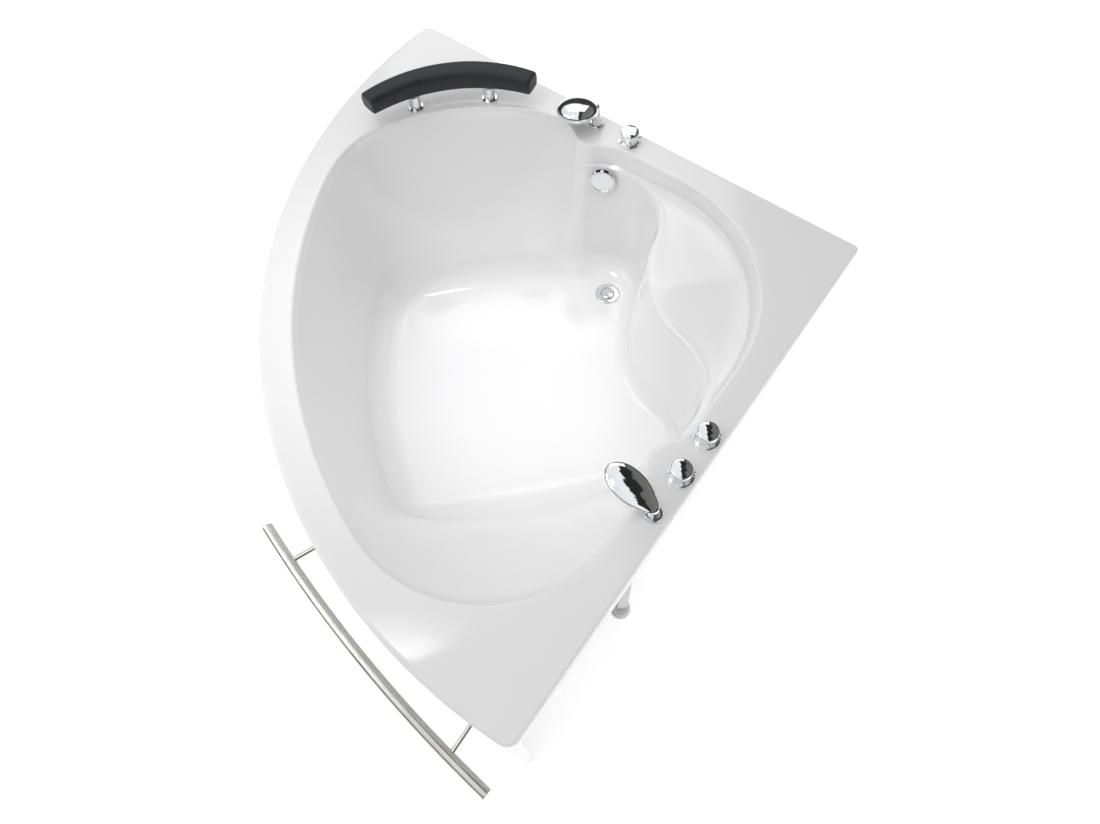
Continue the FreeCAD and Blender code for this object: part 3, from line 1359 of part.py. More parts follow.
def rail_posts():
    """For each post: its point on the rail's arc, the way out from the apron, and its foot on the apron."""
    centre = at(size("front_centre"), size("front_centre"), size("rim_height") - size("rail_drop"))
    face = size("front_radius") - apron_inset()
    posts = []
    for side in (-1, 1):
        point = rail_point(side * size("rail_post_half"), size("rail_bow"))
        way = (point - centre).normalize()
        posts.append((point, way, centre + way * face))
    return posts


def make_grab_rail():
    half = size("rail_half")
    ends = [rail_point(side_way, size("rail_bow")) for side_way in (-half, 0, half)]
    path = Part.Wire([Part.Arc(*ends).toShape()])
    bow = rail_centre()

    def bar(radius):
        along = FreeCAD.Vector(0, 0, 1).cross(ends[0] - bow)
        circle = Part.Wire([Part.makeCircle(radius, ends[0], along)])
        return path.makePipeShell([circle], True, True)

    outer = bar(size("rail_radius"))
    shape_part("rail_tube", outer.cut(bar(size("rail_radius") - size("rail_wall"))))
    caps = []
    for end, side in ((ends[0], -1), (ends[2], 1)):
        along = FreeCAD.Vector(0, 0, 1).cross(end - bow).normalize()
        if along.dot(end - ends[1]) < 0:
            along = along * -1
        cap = Part.makeCylinder(size("rail_radius"), size("cap_thick"), end, along)
        rims = [edge for edge in cap.Edges if edge.Closed and (edge.CenterOfMass - end).dot(along) > 1]
        caps.append(cap.makeFillet(1.5, rims))
    shape_part("rail_end_caps", Part.makeCompound(caps))
    posts = []
    flanges = []
    nuts = []
    inside = size("front_radius") - apron_inset() - size("apron_wall")
    hall = Part.makeCylinder(inside, size("rim_height"), out_across(size("front_centre") / HALF, 0))
    apron = Part.makeCylinder(inside + size("apron_wall"), size("rim_height"),
                              out_across(size("front_centre") / HALF, 0))
    for point, way, foot in rail_posts():
        flange_end = size("rail_flange_thick")
        stud = Part.makeCylinder(size("rail_stud"), 16, foot - way * 14, way)
        reach = (point - foot).Length - flange_end
        post = Part.makeCylinder(size("rail_post"), reach, foot + way * flange_end, way)
        posts.append(post.cut(outer).Solids[0].fuse(stud.fuse(Part.makeCylinder(
            size("rail_stud"), flange_end, foot, way))).removeSplitter().Solids[0])
        flange = Part.makeCylinder(size("rail_flange"), flange_end + 2, foot - way * 2, way).cut(apron)
        flanges.append(flange.cut(Part.makeCylinder(size("rail_stud"), 20, foot - way * 4, way)).Solids[0])
        back = Part.makeCylinder(11, 4, foot - way * (size("apron_wall") + 2), way).common(hall)
        start = foot - way * (size("apron_wall") + 2)
        hexagonal = hex_bar(start, way * -1, size("rail_nut_flats"), size("rail_nut_height"))
        bore = Part.makeCylinder(size("rail_stud"), 40, foot - way * 30, way)
        nuts.append(back.fuse(hexagonal).cut(bore).Solids[0])
    shape_part("rail_posts", Part.makeCompound(posts))
    shape_part("rail_flanges", Part.makeCompound(flanges))
    shape_part("rail_nuts", Part.makeCompound(nuts))


def hex_bar(start, way, flats, height):
    """A hexagonal bar lying along a level direction."""
    up = FreeCAD.Vector(0, 0, 1)
    side = up.cross(way)
    reach = flats / math.sqrt(3)
    corners = []
    for i in range(7):
        turn = math.radians(60 * i)
        corners.append(start + up * (reach * math.cos(turn)) + side * (reach * math.sin(turn)))
    return Part.Face(Part.makePolygon(corners)).extrude(way * height)


# build, check and export -----------------------------------------------------------------------------------

make_board()
make_rails()
make_cross_tubes()
make_spine_tubes()
make_uprights()
make_rim_pads()
make_feet()
make_apron()
make_brackets()
make_drain()
make_overflow()
make_valve_rings()
for valve_name in ("hot", "cold", "diverter"):
    make_valve(valve_name, valve_name + "_valve_body" if valve_name != "diverter" else "diverter_body")
    make_knob(valve_name)
make_deck_nuts()
make_pipes()
make_spout()
make_hand_shower()
make_headrest()
make_grab_rail()
DOC.recompute()

faults = [item.Label + " " + " ".join(item.State) for item in DOC.Objects
          if "Invalid" in item.State or "Error" in item.State]
for item in PARTS:
    if item.Shape.isNull() or not item.Shape.Solids:
        faults.append(item.Label + " has no solid")
    elif not item.Shape.isValid():
        faults.append(item.Label + " isn't valid")
if faults:
    raise RuntimeError("; ".join(faults))

os.makedirs("parts", exist_ok=True)
for item in PARTS:
    item.Shape.exportStep("parts/%s.step" % item.Label)
print("sub-parts", len(PARTS), "objects", len(DOC.Objects))
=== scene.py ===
import bmesh
import bpy
import json
from math import acos, asin, atan2, copysign, cos, degrees, exp, hypot, pi, radians, sin, sqrt
from mathutils import Matrix, Vector, noise


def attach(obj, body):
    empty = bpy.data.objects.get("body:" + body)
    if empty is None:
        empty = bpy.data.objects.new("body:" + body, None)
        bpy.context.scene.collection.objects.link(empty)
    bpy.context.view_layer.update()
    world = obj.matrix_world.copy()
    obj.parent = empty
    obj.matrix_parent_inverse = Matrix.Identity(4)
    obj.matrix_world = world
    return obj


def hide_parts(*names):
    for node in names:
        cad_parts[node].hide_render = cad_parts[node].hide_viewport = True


# Corner bathtub, dressed for the picture. The frame is in metres, +Z up: the origin is on the floor in the
# corner of the room, the back wall runs along +X and the left wall along -Y.
# The sizes below repeat the model's own, in millimetres.

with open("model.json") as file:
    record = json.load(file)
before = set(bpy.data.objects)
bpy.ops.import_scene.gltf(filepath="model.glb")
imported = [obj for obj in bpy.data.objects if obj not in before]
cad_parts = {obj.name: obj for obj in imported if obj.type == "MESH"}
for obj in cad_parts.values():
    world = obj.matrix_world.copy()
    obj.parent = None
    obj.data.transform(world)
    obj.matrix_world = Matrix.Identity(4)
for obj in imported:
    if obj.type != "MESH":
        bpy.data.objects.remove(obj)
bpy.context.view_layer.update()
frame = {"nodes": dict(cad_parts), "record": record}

HALF = sqrt(0.5)
MM = 0.001
DECK = 580.0
WALL = 6.0

# shell and rim
RIM = dict(front_centre=140, front_radius=1267, tip_round=30, corner_round=12, lip_drop=40, lip_round=8)
# basin
LEDGE = 76.0
DECK_BAND = 81.0
SEAT_CORNER = 396.0
CORNERS = {1: 380.0, -1: 330.0}
SHELF_ROUND = 633.0
SHELF_OUT = 952.0
NOSE = dict(place=755, rise=44, flank=135, tip=45)
MIDDLE = 830.0
DEPTH = 430.0
SEAT = dict(drop=60, fall=5, draft=9, nose=526, bay=451, bay_place=255, nose_round=275, edge=14,
            back_round=15, riser_run=32, riser_round=42, blend=60.0, dish=2.0, ridge=4.5, ridge_wide=38.0,
            ridge_from=250.0, ridge_run=240.0)
SIDE_FOOT = 367.0
FRONT_RUN = 106.0
FLOOR_ROUND = 62.0
EDGE_ROUND = 8.0
# how tightly two outlines meet: a high value keeps the crease
CREASE = dict(shelf=80, wave=30, foot=14)
# bores in the shell
BORE = dict(valve=17, post=5.5, drain=26, overflow=24)
# apron
SKIRT = dict(inset=6.3, thick=4, low=8, high=566)
# places on the deck
STATION = dict(near=658, mid=764, far=870, off=39)
DRAIN = (575.6, 250.0)
POSTS = dict(out=945, across=660, apart=204)
OVERFLOW = Vector((0.11313, -0.69, 0.483))
OVERFLOW_WAY = Vector((0.891219, 0.423561, 0.162246)).normalized()


def diagonal(out, across, z):
    """Out along the diagonal into the room, across it to the headrest side, and up, in millimetres."""
    return Vector(((out - across) * HALF, -(out + across) * HALF, z)) * MM


def left_wall(along, off, z):
    return Vector((off, -along, z)) * MM


def back_wall(along, off, z):
    return Vector((along, -off, z)) * MM


def post_place(side):
    return diagonal(POSTS["out"] + side * POSTS["apart"] / 2, POSTS["across"], DECK)


# meshes ------------------------

def make_piece(name, mesh, body, finish, nodes=(), sharp=35):
    """Links a mesh as a piece that rides a body and stands for the named nodes."""
    mesh.materials.clear()
    mesh.materials.append(FINISH[finish])
    for face in mesh.polygons:
        face.use_smooth = True
    mesh.set_sharp_from_angle(angle=radians(sharp))
    piece = bpy.data.objects.new(name, mesh)
    bpy.context.scene.collection.objects.link(piece)
    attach(piece, body)
    if nodes:
        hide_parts(*nodes)
    return piece


def mesh_of(name, verts, faces):
    mesh = bpy.data.meshes.new(name)
    mesh.from_pydata([tuple(v) for v in verts], [], faces)
    mesh.validate()
    mesh.update()
    return mesh


def bake(piece):
    """Applies a piece's modifiers."""
    graph = bpy.context.evaluated_depsgraph_get()
    mesh = bpy.data.meshes.new_from_object(piece.evaluated_get(graph))
    old = piece.data
    piece.modifiers.clear()
    piece.data = mesh
    bpy.data.meshes.remove(old)
    return mesh


def soften(profile, radius, steps=4):
    """Rounds the inner corners of an open (radius, height) outline."""
    points = [profile[0]]
    for before, corner, after in zip(profile, profile[1:], profile[2:]):
        corner_v = Vector(corner)
        near = Vector(before) - corner_v
        far = Vector(after) - corner_v
        cut = min(radius, near.length * 0.45, far.length * 0.45)
        if cut < 0.02 or near.angle(far) > 3.0:
            points.append(corner)
            continue
        start = corner_v + near.normalized() * cut
        end = corner_v + far.normalized() * cut
        for i in range(steps + 1):
            t = i / steps
            point = start * (1 - t) ** 2 + corner_v * 2 * t * (1 - t) + end * t ** 2
            points.append((point.x, point.y))
    points.append(profile[-1])
    return points


def add_solids(name, parts, body, finish, nodes=(), sharp=35):
    """One piece of several closed skins."""
    make_piece(name, outwards(mesh_of(name, *join(parts))), body, finish, nodes, sharp)


def axis_matrix(origin, way):
    return Matrix.Translation(origin) @ Vector((0, 0, 1)).rotation_difference(way).to_matrix().to_4x4()


def lathe(profile, origin, way=Vector((0, 0, 1)), steps=96):
    """Vertices and faces of an outline turned round an axis; its ends on the axis close."""
    verts = []
    faces = []
    rings = []
    place = axis_matrix(origin, way)
    for radius, height in profile:
        if radius < 1e-6:
            rings.append([len(verts)])
            verts.append(place @ Vector((0, 0, height * MM)))
        else:
            rings.append(list(range(len(verts), len(verts) + steps)))
            for i in range(steps):
                turn = 2 * pi * i / steps
                spot = Vector((radius * cos(turn), radius * sin(turn), height))
                verts.append(place @ (spot * MM))
    for low, high in zip(rings, rings[1:]):
        for i in range(steps):
            j = (i + 1) % steps
            if len(low) == 1 and len(high) == 1:
                continue
            if len(low) == 1:
                faces.append((low[0], high[j], high[i]))
            elif len(high) == 1:
                faces.append((low[i], low[j], high[0]))
            else:
                faces.append((low[i], low[j], high[j], high[i]))
    return verts, faces


def join(parts):
    verts = []
    faces = []
    for some_verts, some_faces in parts:
        start = len(verts)
        verts += some_verts
        faces += [tuple(i + start for i in face) for face in some_faces]
    return verts, faces


def loft(rings, close_ends=True):
    """A skin through closed rings of equal length."""
    count = len(rings[0])
    verts = [v for ring in rings for v in ring]
    faces = []
    for r in range(len(rings) - 1):
        for i in range(count):
            j = (i + 1) % count
            faces.append((r * count + i, r * count + j, (r + 1) * count + j, (r + 1) * count + i))
    if close_ends:
        faces.append(tuple(range(count))[::-1])
        faces.append(tuple(range((len(rings) - 1) * count, len(rings) * count)))
    return verts, faces


def outwards(mesh):
    """Turns all the faces outwards."""
    work = bmesh.new()
    work.from_mesh(mesh)
    bmesh.ops.recalc_face_normals(work, faces=work.faces)
    work.to_mesh(mesh)
    work.free()
    return mesh


# materials ------------------------

def effect(name, inputs, outputs):
    """An empty node group; its sockets are given as name: (kind, value)."""
    tree = bpy.data.node_groups.new(name, "ShaderNodeTree")
    for key, (kind, value) in inputs.items():
        socket = tree.interface.new_socket(key, in_out="INPUT", socket_type="NodeSocket" + kind)
        if value is not None:
            socket.default_value = value
    for key, kind in outputs.items():
        tree.interface.new_socket(key, in_out="OUTPUT", socket_type="NodeSocket" + kind)
    return tree, tree.nodes.new("NodeGroupInput").outputs, tree.nodes.new("NodeGroupOutput").inputs


def mottle_effect():
    """Colour, roughness and height that wander together between a low and a high value."""
    tree, given, out = effect("mottle", {
        "Vector": ("Vector", None), "Scale": ("Float", 50.0), "Detail": ("Float", 4.0),
        "Low Colour": ("Color", (0, 0, 0, 1)), "High Colour": ("Color", (1, 1, 1, 1)),
        "Low Roughness": ("Float", 0.3), "High Roughness": ("Float", 0.5)},
        {"Colour": "Color", "Roughness": "Float", "Height": "Float"})
    cloud = tree.nodes.new("ShaderNodeTexNoise")
    spread = tree.nodes.new("ShaderNodeMapRange")
    spread.inputs["From Min"].default_value = 0.3
    spread.inputs["From Max"].default_value = 0.7
    tone = tree.nodes.new("ShaderNodeMix")
    tone.data_type = "RGBA"
    rough = tree.nodes.new("ShaderNodeMix")
    link = tree.links.new
    link(given["Vector"], cloud.inputs["Vector"])
    link(given["Scale"], cloud.inputs["Scale"])
    link(given["Detail"], cloud.inputs["Detail"])
    link(cloud.outputs["Fac"], spread.inputs["Value"])
    link(spread.outputs["Result"], tone.inputs[0])
    link(given["Low Colour"], tone.inputs[6])
    link(given["High Colour"], tone.inputs[7])
    link(spread.outputs["Result"], rough.inputs[0])
    link(given["Low Roughness"], rough.inputs[2])
    link(given["High Roughness"], rough.inputs[3])
    link(tone.outputs[2], out["Colour"])
    link(rough.outputs[0], out["Roughness"])
    link(cloud.outputs["Fac"], out["Height"])
    return tree


def pebble_effect():
    """Height of a fine pebbled skin: small cells over a slower swell."""
    tree, given, out = effect("pebble", {
        "Vector": ("Vector", None), "Cells": ("Float", 900.0), "Swell": ("Float", 35.0),
        "Swell Share": ("Float", 0.5)}, {"Height": "Float"})
    cells = tree.nodes.new("ShaderNodeTexVoronoi")
    swell = tree.nodes.new("ShaderNodeTexNoise")
    swell.inputs["Detail"].default_value = 3.0
    mix = tree.nodes.new("ShaderNodeMix")
    link = tree.links.new
    link(given["Vector"], cells.inputs["Vector"])
    link(given["Cells"], cells.inputs["Scale"])
    link(given["Vector"], swell.inputs["Vector"])
    link(given["Swell"], swell.inputs["Scale"])
    link(given["Swell Share"], mix.inputs[0])
    link(cells.outputs["Distance"], mix.inputs[2])
    link(swell.outputs["Fac"], mix.inputs[3])
    link(mix.outputs[0], out["Height"])
    return tree


MOTTLE = mottle_effect()
PEBBLE = pebble_effect()


class Paint:
    """A node material: a principled shader fed by the shared effects."""

    def __init__(self, name, **inputs):
        self.material = bpy.data.materials.new(name)
        self.material.use_nodes = True
        self.nodes = self.material.node_tree.nodes
        self.link = self.material.node_tree.links.new
        self.shader = self.nodes["Principled BSDF"]
        for key, value in inputs.items():
            self.shader.inputs[key.replace("_", " ")].default_value = value
        self.where = self.nodes.new("ShaderNodeTexCoord").outputs["Object"]
        self.normal = None

    def stretch(self, scale, turn=(0, 0, 0)):
        mapping = self.nodes.new("ShaderNodeMapping")
        mapping.inputs["Scale"].default_value = scale
        mapping.inputs["Rotation"].default_value = turn
        self.link(self.where, mapping.inputs["Vector"])
        self.where = mapping.outputs["Vector"]

    def place(self, tree, **values):
        node = self.nodes.new("ShaderNodeGroup")
        node.node_tree = tree
        self.link(self.where, node.inputs["Vector"])
        for key, value in values.items():
            node.inputs[key.replace("_", " ")].default_value = value
        return node.outputs

    def mottle(self, scale, detail, low, high, roughness):
        made = self.place(MOTTLE, Scale=scale, Detail=detail, Low_Colour=(*low, 1), High_Colour=(*high, 1),
                          Low_Roughness=roughness[0], High_Roughness=roughness[1])
        self.link(made["Colour"], self.shader.inputs["Base Color"])
        self.link(made["Roughness"], self.shader.inputs["Roughness"])
        return made["Height"]

    def bump(self, height, strength, distance):
        node = self.nodes.new("ShaderNodeBump")
        node.inputs["Strength"].default_value = strength
        node.inputs["Distance"].default_value = distance
        self.link(height, node.inputs["Height"])
        if self.normal is not None:
            self.link(self.normal, node.inputs["Normal"])
        self.normal = node.outputs["Normal"]
        self.link(self.normal, self.shader.inputs["Normal"])


def acrylic(name, low, high, roughness):
    """Vacuum-formed acrylic: a clear gloss with the faint ripple and peel of the heated sheet."""
    paint = Paint(name, IOR=1.49, Coat_Weight=0.3, Coat_Roughness=0.05)
    paint.mottle(2.4, 3.0, low, high, roughness)
    paint.bump(paint.place(MOTTLE, Scale=9.0, Detail=2.0)["Height"], 0.05, 0.01)
    paint.bump(paint.place(PEBBLE, Cells=420.0, Swell=60.0, Swell_Share=0.4)["Height"], 0.02, 0.0005)
    return paint.material


def metal(name, low, high, roughness, scale=70.0, grain=None, bump=0.02):
    paint = Paint(name, Metallic=1.0)
    if grain:
        paint.stretch(grain)
    paint.bump(paint.mottle(scale, 5.0, low, high, roughness), bump, 0.0004)
    return paint.material


def plastic(name, low, high, roughness, scale=160.0, bump=0.15, **inputs):
    paint = Paint(name, **inputs)
    paint.mottle(scale / 4, 4.0, low, high, roughness)
    paint.bump(paint.place(PEBBLE, Cells=scale * 6, Swell=scale, Swell_Share=0.4)["Height"], bump, 0.0004)
    return paint.material


def foam_skin(name):
    """Moulded foam skin: charcoal, matt, with a fine pebble."""
    paint = Paint(name, IOR=1.45, Sheen_Weight=0.10, Sheen_Roughness=0.5)
    paint.mottle(28.0, 6.0, (0.0105, 0.0115, 0.014), (0.017, 0.0185, 0.022), (0.46, 0.60))
    paint.bump(paint.place(PEBBLE, Cells=900.0, Swell=35.0, Swell_Share=0.35)["Height"], 0.35, 0.0006)
    return paint.material


def plywood(name):
    paint = Paint(name)
    paint.stretch((3.0, 26.0, 90.0), (0, 0, radians(-45)))
    paint.bump(paint.mottle(6.0, 8.0, (0.36, 0.24, 0.13), (0.62, 0.47, 0.29), (0.6, 0.8)), 0.25, 0.001)
    return paint.material


FINISH = {
    "acrylic": acrylic("white_acrylic", (0.87, 0.87, 0.875), (0.89, 0.89, 0.89), (0.07, 0.13)),
    # The apron's acrylic is the tub's acrylic made darker: painted shade for the apron's shaded face.
    "apron_acrylic": acrylic("apron_acrylic", (0.78, 0.78, 0.785), (0.81, 0.81, 0.81), (0.10, 0.18)),
    "chrome": metal("bright_chrome", (0.80, 0.81, 0.82), (0.88, 0.885, 0.89), (0.015, 0.045), 40.0,
                    bump=0.006),
    "chrome_soft": metal("soft_chrome", (0.72, 0.73, 0.74), (0.82, 0.82, 0.83), (0.08, 0.16), 60.0),
    "rail_steel": metal("satin_steel", (0.66, 0.63, 0.57), (0.80, 0.77, 0.71), (0.20, 0.32), 900.0,
                        (0.02, 0.02, 1.0)),
    "zinc": metal("zinc_plate", (0.46, 0.47, 0.49), (0.62, 0.63, 0.64), (0.30, 0.45), 260.0),
    "brass": metal("cast_brass", (0.50, 0.36, 0.16), (0.66, 0.50, 0.25), (0.25, 0.42), 200.0, bump=0.08),
    "frame_steel": plastic("frame_paint", (0.66, 0.68, 0.69), (0.74, 0.75, 0.76), (0.35, 0.5), 120.0),
    "foot_plastic": plastic("foot_plastic", (0.66, 0.66, 0.66), (0.74, 0.74, 0.74), (0.45, 0.6), 200.0, 0.3),
    "grey_plastic": plastic("grey_plastic", (0.30, 0.31, 0.32), (0.36, 0.37, 0.38), (0.35, 0.5)),
    "white_plastic": plastic("white_plastic", (0.72, 0.72, 0.70), (0.78, 0.78, 0.76), (0.35, 0.5)),
    "seal_rubber": plastic("seal_rubber", (0.006, 0.006, 0.006), (0.014, 0.014, 0.014), (0.6, 0.8), 220.0,
                           0.3),
    "spray_face": plastic("spray_face", (0.07, 0.075, 0.08), (0.10, 0.105, 0.11), (0.4, 0.55)),
    "pillow_foam": foam_skin("headrest_skin"),
    "board": plywood("base_plywood"),
}
for part in frame["record"]["subparts"]:
    node = frame["nodes"][part["node"]]
    node.data.materials.clear()
    node.data.materials.append(FINISH[part["material_slot"]])


# tub ------------------------

def arc_points(points, centre_along, centre_off, radius, first, last, step=1.0):
    """Adds an arc to an outline, from the first to the last angle, with a point about every step degrees."""
    count = max(2, int(abs(last - first) / radians(step)) + 1)
    for i in range(count + 1):
        angle = first + (last - first) * i / count
        points.append((centre_along + radius * cos(angle), centre_off + radius * sin(angle)))


def front_arcs(points, front, tip, off, tip_step=1.0):
    """Adds the round at a tip, its centre at off from the wall, and the bow to the middle of the front."""
    centre = RIM["front_centre"]
    rise = off - centre
    run = sqrt((front - tip) ** 2 - rise ** 2)
    arc_points(points, centre + run, off, tip, radians(-90), atan2(rise, run), tip_step)
    arc_points(points, centre, centre, front, atan2(rise, run), radians(45))


def half_opening(corner_round):
    """The opening from the wall corner to the middle of the front, as (along wall, off wall) points."""
    points = []
    flank, tip = NOSE["flank"], NOSE["tip"]
    seat_corner = LEDGE + SEAT_CORNER
    arc_points(points, seat_corner, seat_corner, SEAT_CORNER, radians(225), radians(270))
    turn = acos(1 - NOSE["rise"] / (flank + tip))
    half_span = (flank + tip) * sin(turn)
    place = NOSE["place"]
    away, back = radians(270), radians(90)
    arc_points(points, place - half_span, LEDGE + flank, flank, away, away + turn)
    arc_points(points, place, LEDGE + NOSE["rise"] - tip, tip, back + turn, back - turn)
    arc_points(points, place + half_span, LEDGE + flank, flank, away - turn, away)
    front_arcs(points, RIM["front_radius"] - DECK_BAND, corner_round, LEDGE + corner_round)
    return points


def half_rim(inset):
    """The rim's outline, drawn in by inset, from the wall corner to the middle of the front."""
    points = []
    corner = max(RIM["corner_round"] - inset, 3.0)
    arc_points(points, inset + corner, inset + corner, corner, radians(225), radians(270), 9)
    tip = max(RIM["tip_round"] - inset, 4.0)
    front_arcs(points, RIM["front_radius"] - inset, tip, inset + tip, 6)
    return points


def polar(halves):
    """Angles and radii round the basin's middle; angle 0 points at the front, positive to the headrest."""
    table = []
    for side, points in halves:
        for along, off in points:
            out = (along + off) * HALF - MIDDLE
            across = (along - off) * HALF * side
            table.append((atan2(across, out), out, across))
    table.sort()
    kept = table[:1]
    for entry in table[1:]:
        if entry[0] - kept[-1][0] > 1e-6:
            kept.append(entry)
    first = (kept[0][0] + 2 * pi, *kept[0][1:])
    last = (kept[-1][0] - 2 * pi, *kept[-1][1:])
    return [last] + kept + [first]


def reach(table, angle):
    """Where a ray from the basin's middle meets an outline."""
    for low, high in zip(table, table[1:]):
        if low[0] <= angle <= high[0] and high[0] > low[0] + 1e-9:
            run = (high[1] - low[1], high[2] - low[2])
            way = (cos(angle), sin(angle))
            under = way[0] * run[1] - way[1] * run[0]
            if abs(under) < 1e-9:
                return hypot(low[1], low[2])
            return (low[1] * run[1] - low[2] * run[0]) / under
    return hypot(table[0][1], table[0][2])


def soft_least(values, sharpness):
    """The least of some values, rounded where two of them are near."""
    least = min(values)
    return least * sum((least / value) ** sharpness for value in values) ** (-1.0 / sharpness)


OPENING = polar([(1, half_opening(CORNERS[1])), (-1, half_opening(CORNERS[-1]))])


def opening(angle):
    """The basin's edge; on the headrest side a wider arc rounds it off."""
    radius = reach(OPENING, angle)
    if radians(20) < angle < radians(115):
        aside = SHELF_OUT - MIDDLE
        along = aside * cos(angle)
        shelf = along + sqrt(along ** 2 + SHELF_ROUND ** 2 - aside ** 2)
        radius = soft_least([radius, shelf], CREASE["shelf"])
    return radius


def to_wave(angle, nose, bay):
    """Distance to the seat's wavy front."""
    if cos(angle) > -0.2:
        return None
    place = SEAT["bay_place"]
    rounds = (place ** 2 + (nose - bay) ** 2) / (2 * (nose - bay))
    nose_round = min(SEAT["nose_round"], 0.62 * rounds)
    bay_round = rounds - nose_round
    knee = place * nose_round / rounds

    def wave(across):
        across = abs(across)
        if across <= knee:
            return nose - nose_round + sqrt(nose_round ** 2 - across ** 2)
        over = min(abs(across - place), 0.98 * bay_round)
        return bay + bay_round - sqrt(bay_round ** 2 - over ** 2)

    def before_wave(radius):
        return MIDDLE + radius * cos(angle) > wave(radius * sin(angle))

    stride, farthest, halvings = 5, 1400, 24
    near = 0.0
    while before_wave(near + stride):
        near += stride
        if near > farthest:
            return None
    far = near + stride
    for _ in range(halvings):
        half = (near + far) / 2
        if before_wave(half):
            near = half
        else:
            far = half
    return near


def foot(angle):
    """Where the walls, drawn on straight, would meet the floor."""
    radii = []
    if abs(sin(angle)) > 1e-6:
        radii.append(SIDE_FOOT / abs(sin(angle)))
    front = RIM["front_radius"] - DECK_BAND - FRONT_RUN
    offset = MIDDLE - RIM["front_centre"] / HALF
    along = offset * cos(angle)
    radii.append(sqrt(along ** 2 + front ** 2 - offset ** 2) - along)
    riser = to_wave(angle, SEAT["nose"] + SEAT["riser_run"] + 7, SEAT["bay"] + SEAT["riser_run"])
    if riser is not None:
        radii.append(riser)
    return soft_least(radii, CREASE["foot"])


def quarter(steps):
    """Angles from 0 to a right angle."""
    return [radians(90) * i / steps for i in range(steps + 1)]


def seat_hollow(out, across):
    """How far the two seats dip on either side of the low ridge between them."""
    ridge = SEAT["ridge"] * exp(-(across / SEAT["ridge_wide"]) ** 2)
    return SEAT["dish"] - ridge * min(1.0, max(0.0, (out - SEAT["ridge_from"]) / SEAT["ridge_run"]))


def profile(angle):
    """(depth, radius) from the deck's edge down to the flat of the floor."""
    rim = opening(angle)
    low = foot(angle)
    drop, draft = SEAT["drop"], SEAT["draft"]
    wave = to_wave(angle, SEAT["nose"], SEAT["bay"])
    seat = 0.0
    if wave is not None:
        seat = min(1.0, max(0.0, (rim - draft - wave) / SEAT["blend"]))
        seat = seat * seat * (3 - 2 * seat)
    drawn_in = seat * draft + (1 - seat) * (rim - low) * drop / DEPTH
    edge = rim - drawn_in
    if wave is not None:
        edge = soft_least([wave, edge], CREASE["wave"])
    points = []
    for turn in quarter(6):
        points.append((EDGE_ROUND * (1 - cos(turn)), rim + EDGE_ROUND * (1 - sin(turn))))
    back = SEAT["back_round"]
    first = EDGE_ROUND
    last = drop - SEAT["fall"] - back
    for i in range(1, 4):
        depth = first + (last - first) * i / 4
        points.append((depth, rim - drawn_in * depth / drop))
    for turn in quarter(6):
        depth = drop - SEAT["fall"] - back * (1 - sin(turn))
        points.append((depth, rim - drawn_in * depth / drop - seat * back * (1 - cos(turn))))
    seat_back = points[-1]

    def lower_wall(depth):
        return edge + (low - edge) * (depth - drop) / (DEPTH - drop)

    front = SEAT["edge"]
    brink = (drop, lower_wall(drop) + seat * front)
    for i in range(1, 15):
        t = i / 15
        radius = seat_back[1] + (brink[1] - seat_back[1]) * t
        hollow = seat * seat_hollow(MIDDLE + radius * cos(angle), radius * sin(angle))
        hollow *= min(1.0, 6 * t * (1 - t))
        points.append((seat_back[0] + (brink[0] - seat_back[0]) * t + hollow, radius))
    for turn in quarter(6):
        depth = drop + front * (1 - cos(turn))
        points.append((depth, lower_wall(depth) + seat * front * (1 - sin(turn))))
    start = drop + front
    end = DEPTH - FLOOR_ROUND
    for i in range(1, 11):
        depth = start + (end - start) * i / 11
        points.append((depth, lower_wall(depth)))
    own = seat * SEAT["riser_round"] + (1 - seat) * FLOOR_ROUND
    for turn in quarter(12):
        height = FLOOR_ROUND * (1 - sin(turn))
        inset = 0.0
        if height < own:
            inset = own * (1 - sqrt(1 - (1 - height / own) ** 2))
        points.append((DEPTH - height, lower_wall(DEPTH - height) - inset))
    return points


def drilled(piece, cutters):
    """Takes the cutters' volumes out of a piece."""
    tool = bpy.data.objects.new("drill", outwards(mesh_of("drill", *join(cutters))))
    bpy.context.scene.collection.objects.link(tool)
    change = piece.modifiers.new("drill", "BOOLEAN")
    change.operation = "DIFFERENCE"
    change.solver = "EXACT"
    change.object = tool
    bake(piece)
    bpy.data.objects.remove(tool)


def cylinder(origin, way, radius, low, high, steps=48):
    return lathe([(0, low), (radius, low), (radius, high), (0, high)], origin, way, steps)


def skin_angles(rim):
    """Even angles round the basin's middle, with the rim's own at its tips and its corner."""
    count, tips_from, corner_from, least_step = 460, 1080, -800, 0.0009
    angles = [2 * pi * i / count - pi for i in range(count)]
    angles += [angle for angle, out, across in rim[1:-1]
               if hypot(out, across) > tips_from or out < corner_from]
    angles.sort()
    kept = [angles[0]]
    for angle in angles[1:]:
        if angle - kept[-1] > least_step:
            kept.append(angle)
    return kept


def tub_bores():
    up = Vector((0, 0, 1))
    low, high = -14, 6
    spots = [back_wall(STATION[name], STATION["off"], DECK) for name in ("near", "mid", "far")]
    spots += [left_wall(STATION[name], STATION["off"], DECK) for name in ("near", "mid")]
    bores = [cylinder(spot, up, BORE["valve"], low, high) for spot in spots]
    bores += [cylinder(post_place(side), up, BORE["post"], low, high, 24) for side in (-1, 1)]
    bores.append(cylinder(diagonal(*DRAIN, DECK - DEPTH), up, BORE["drain"], low, high))
    bores.append(cylinder(OVERFLOW, OVERFLOW_WAY, BORE["overflow"], -30, 15))
    return bores


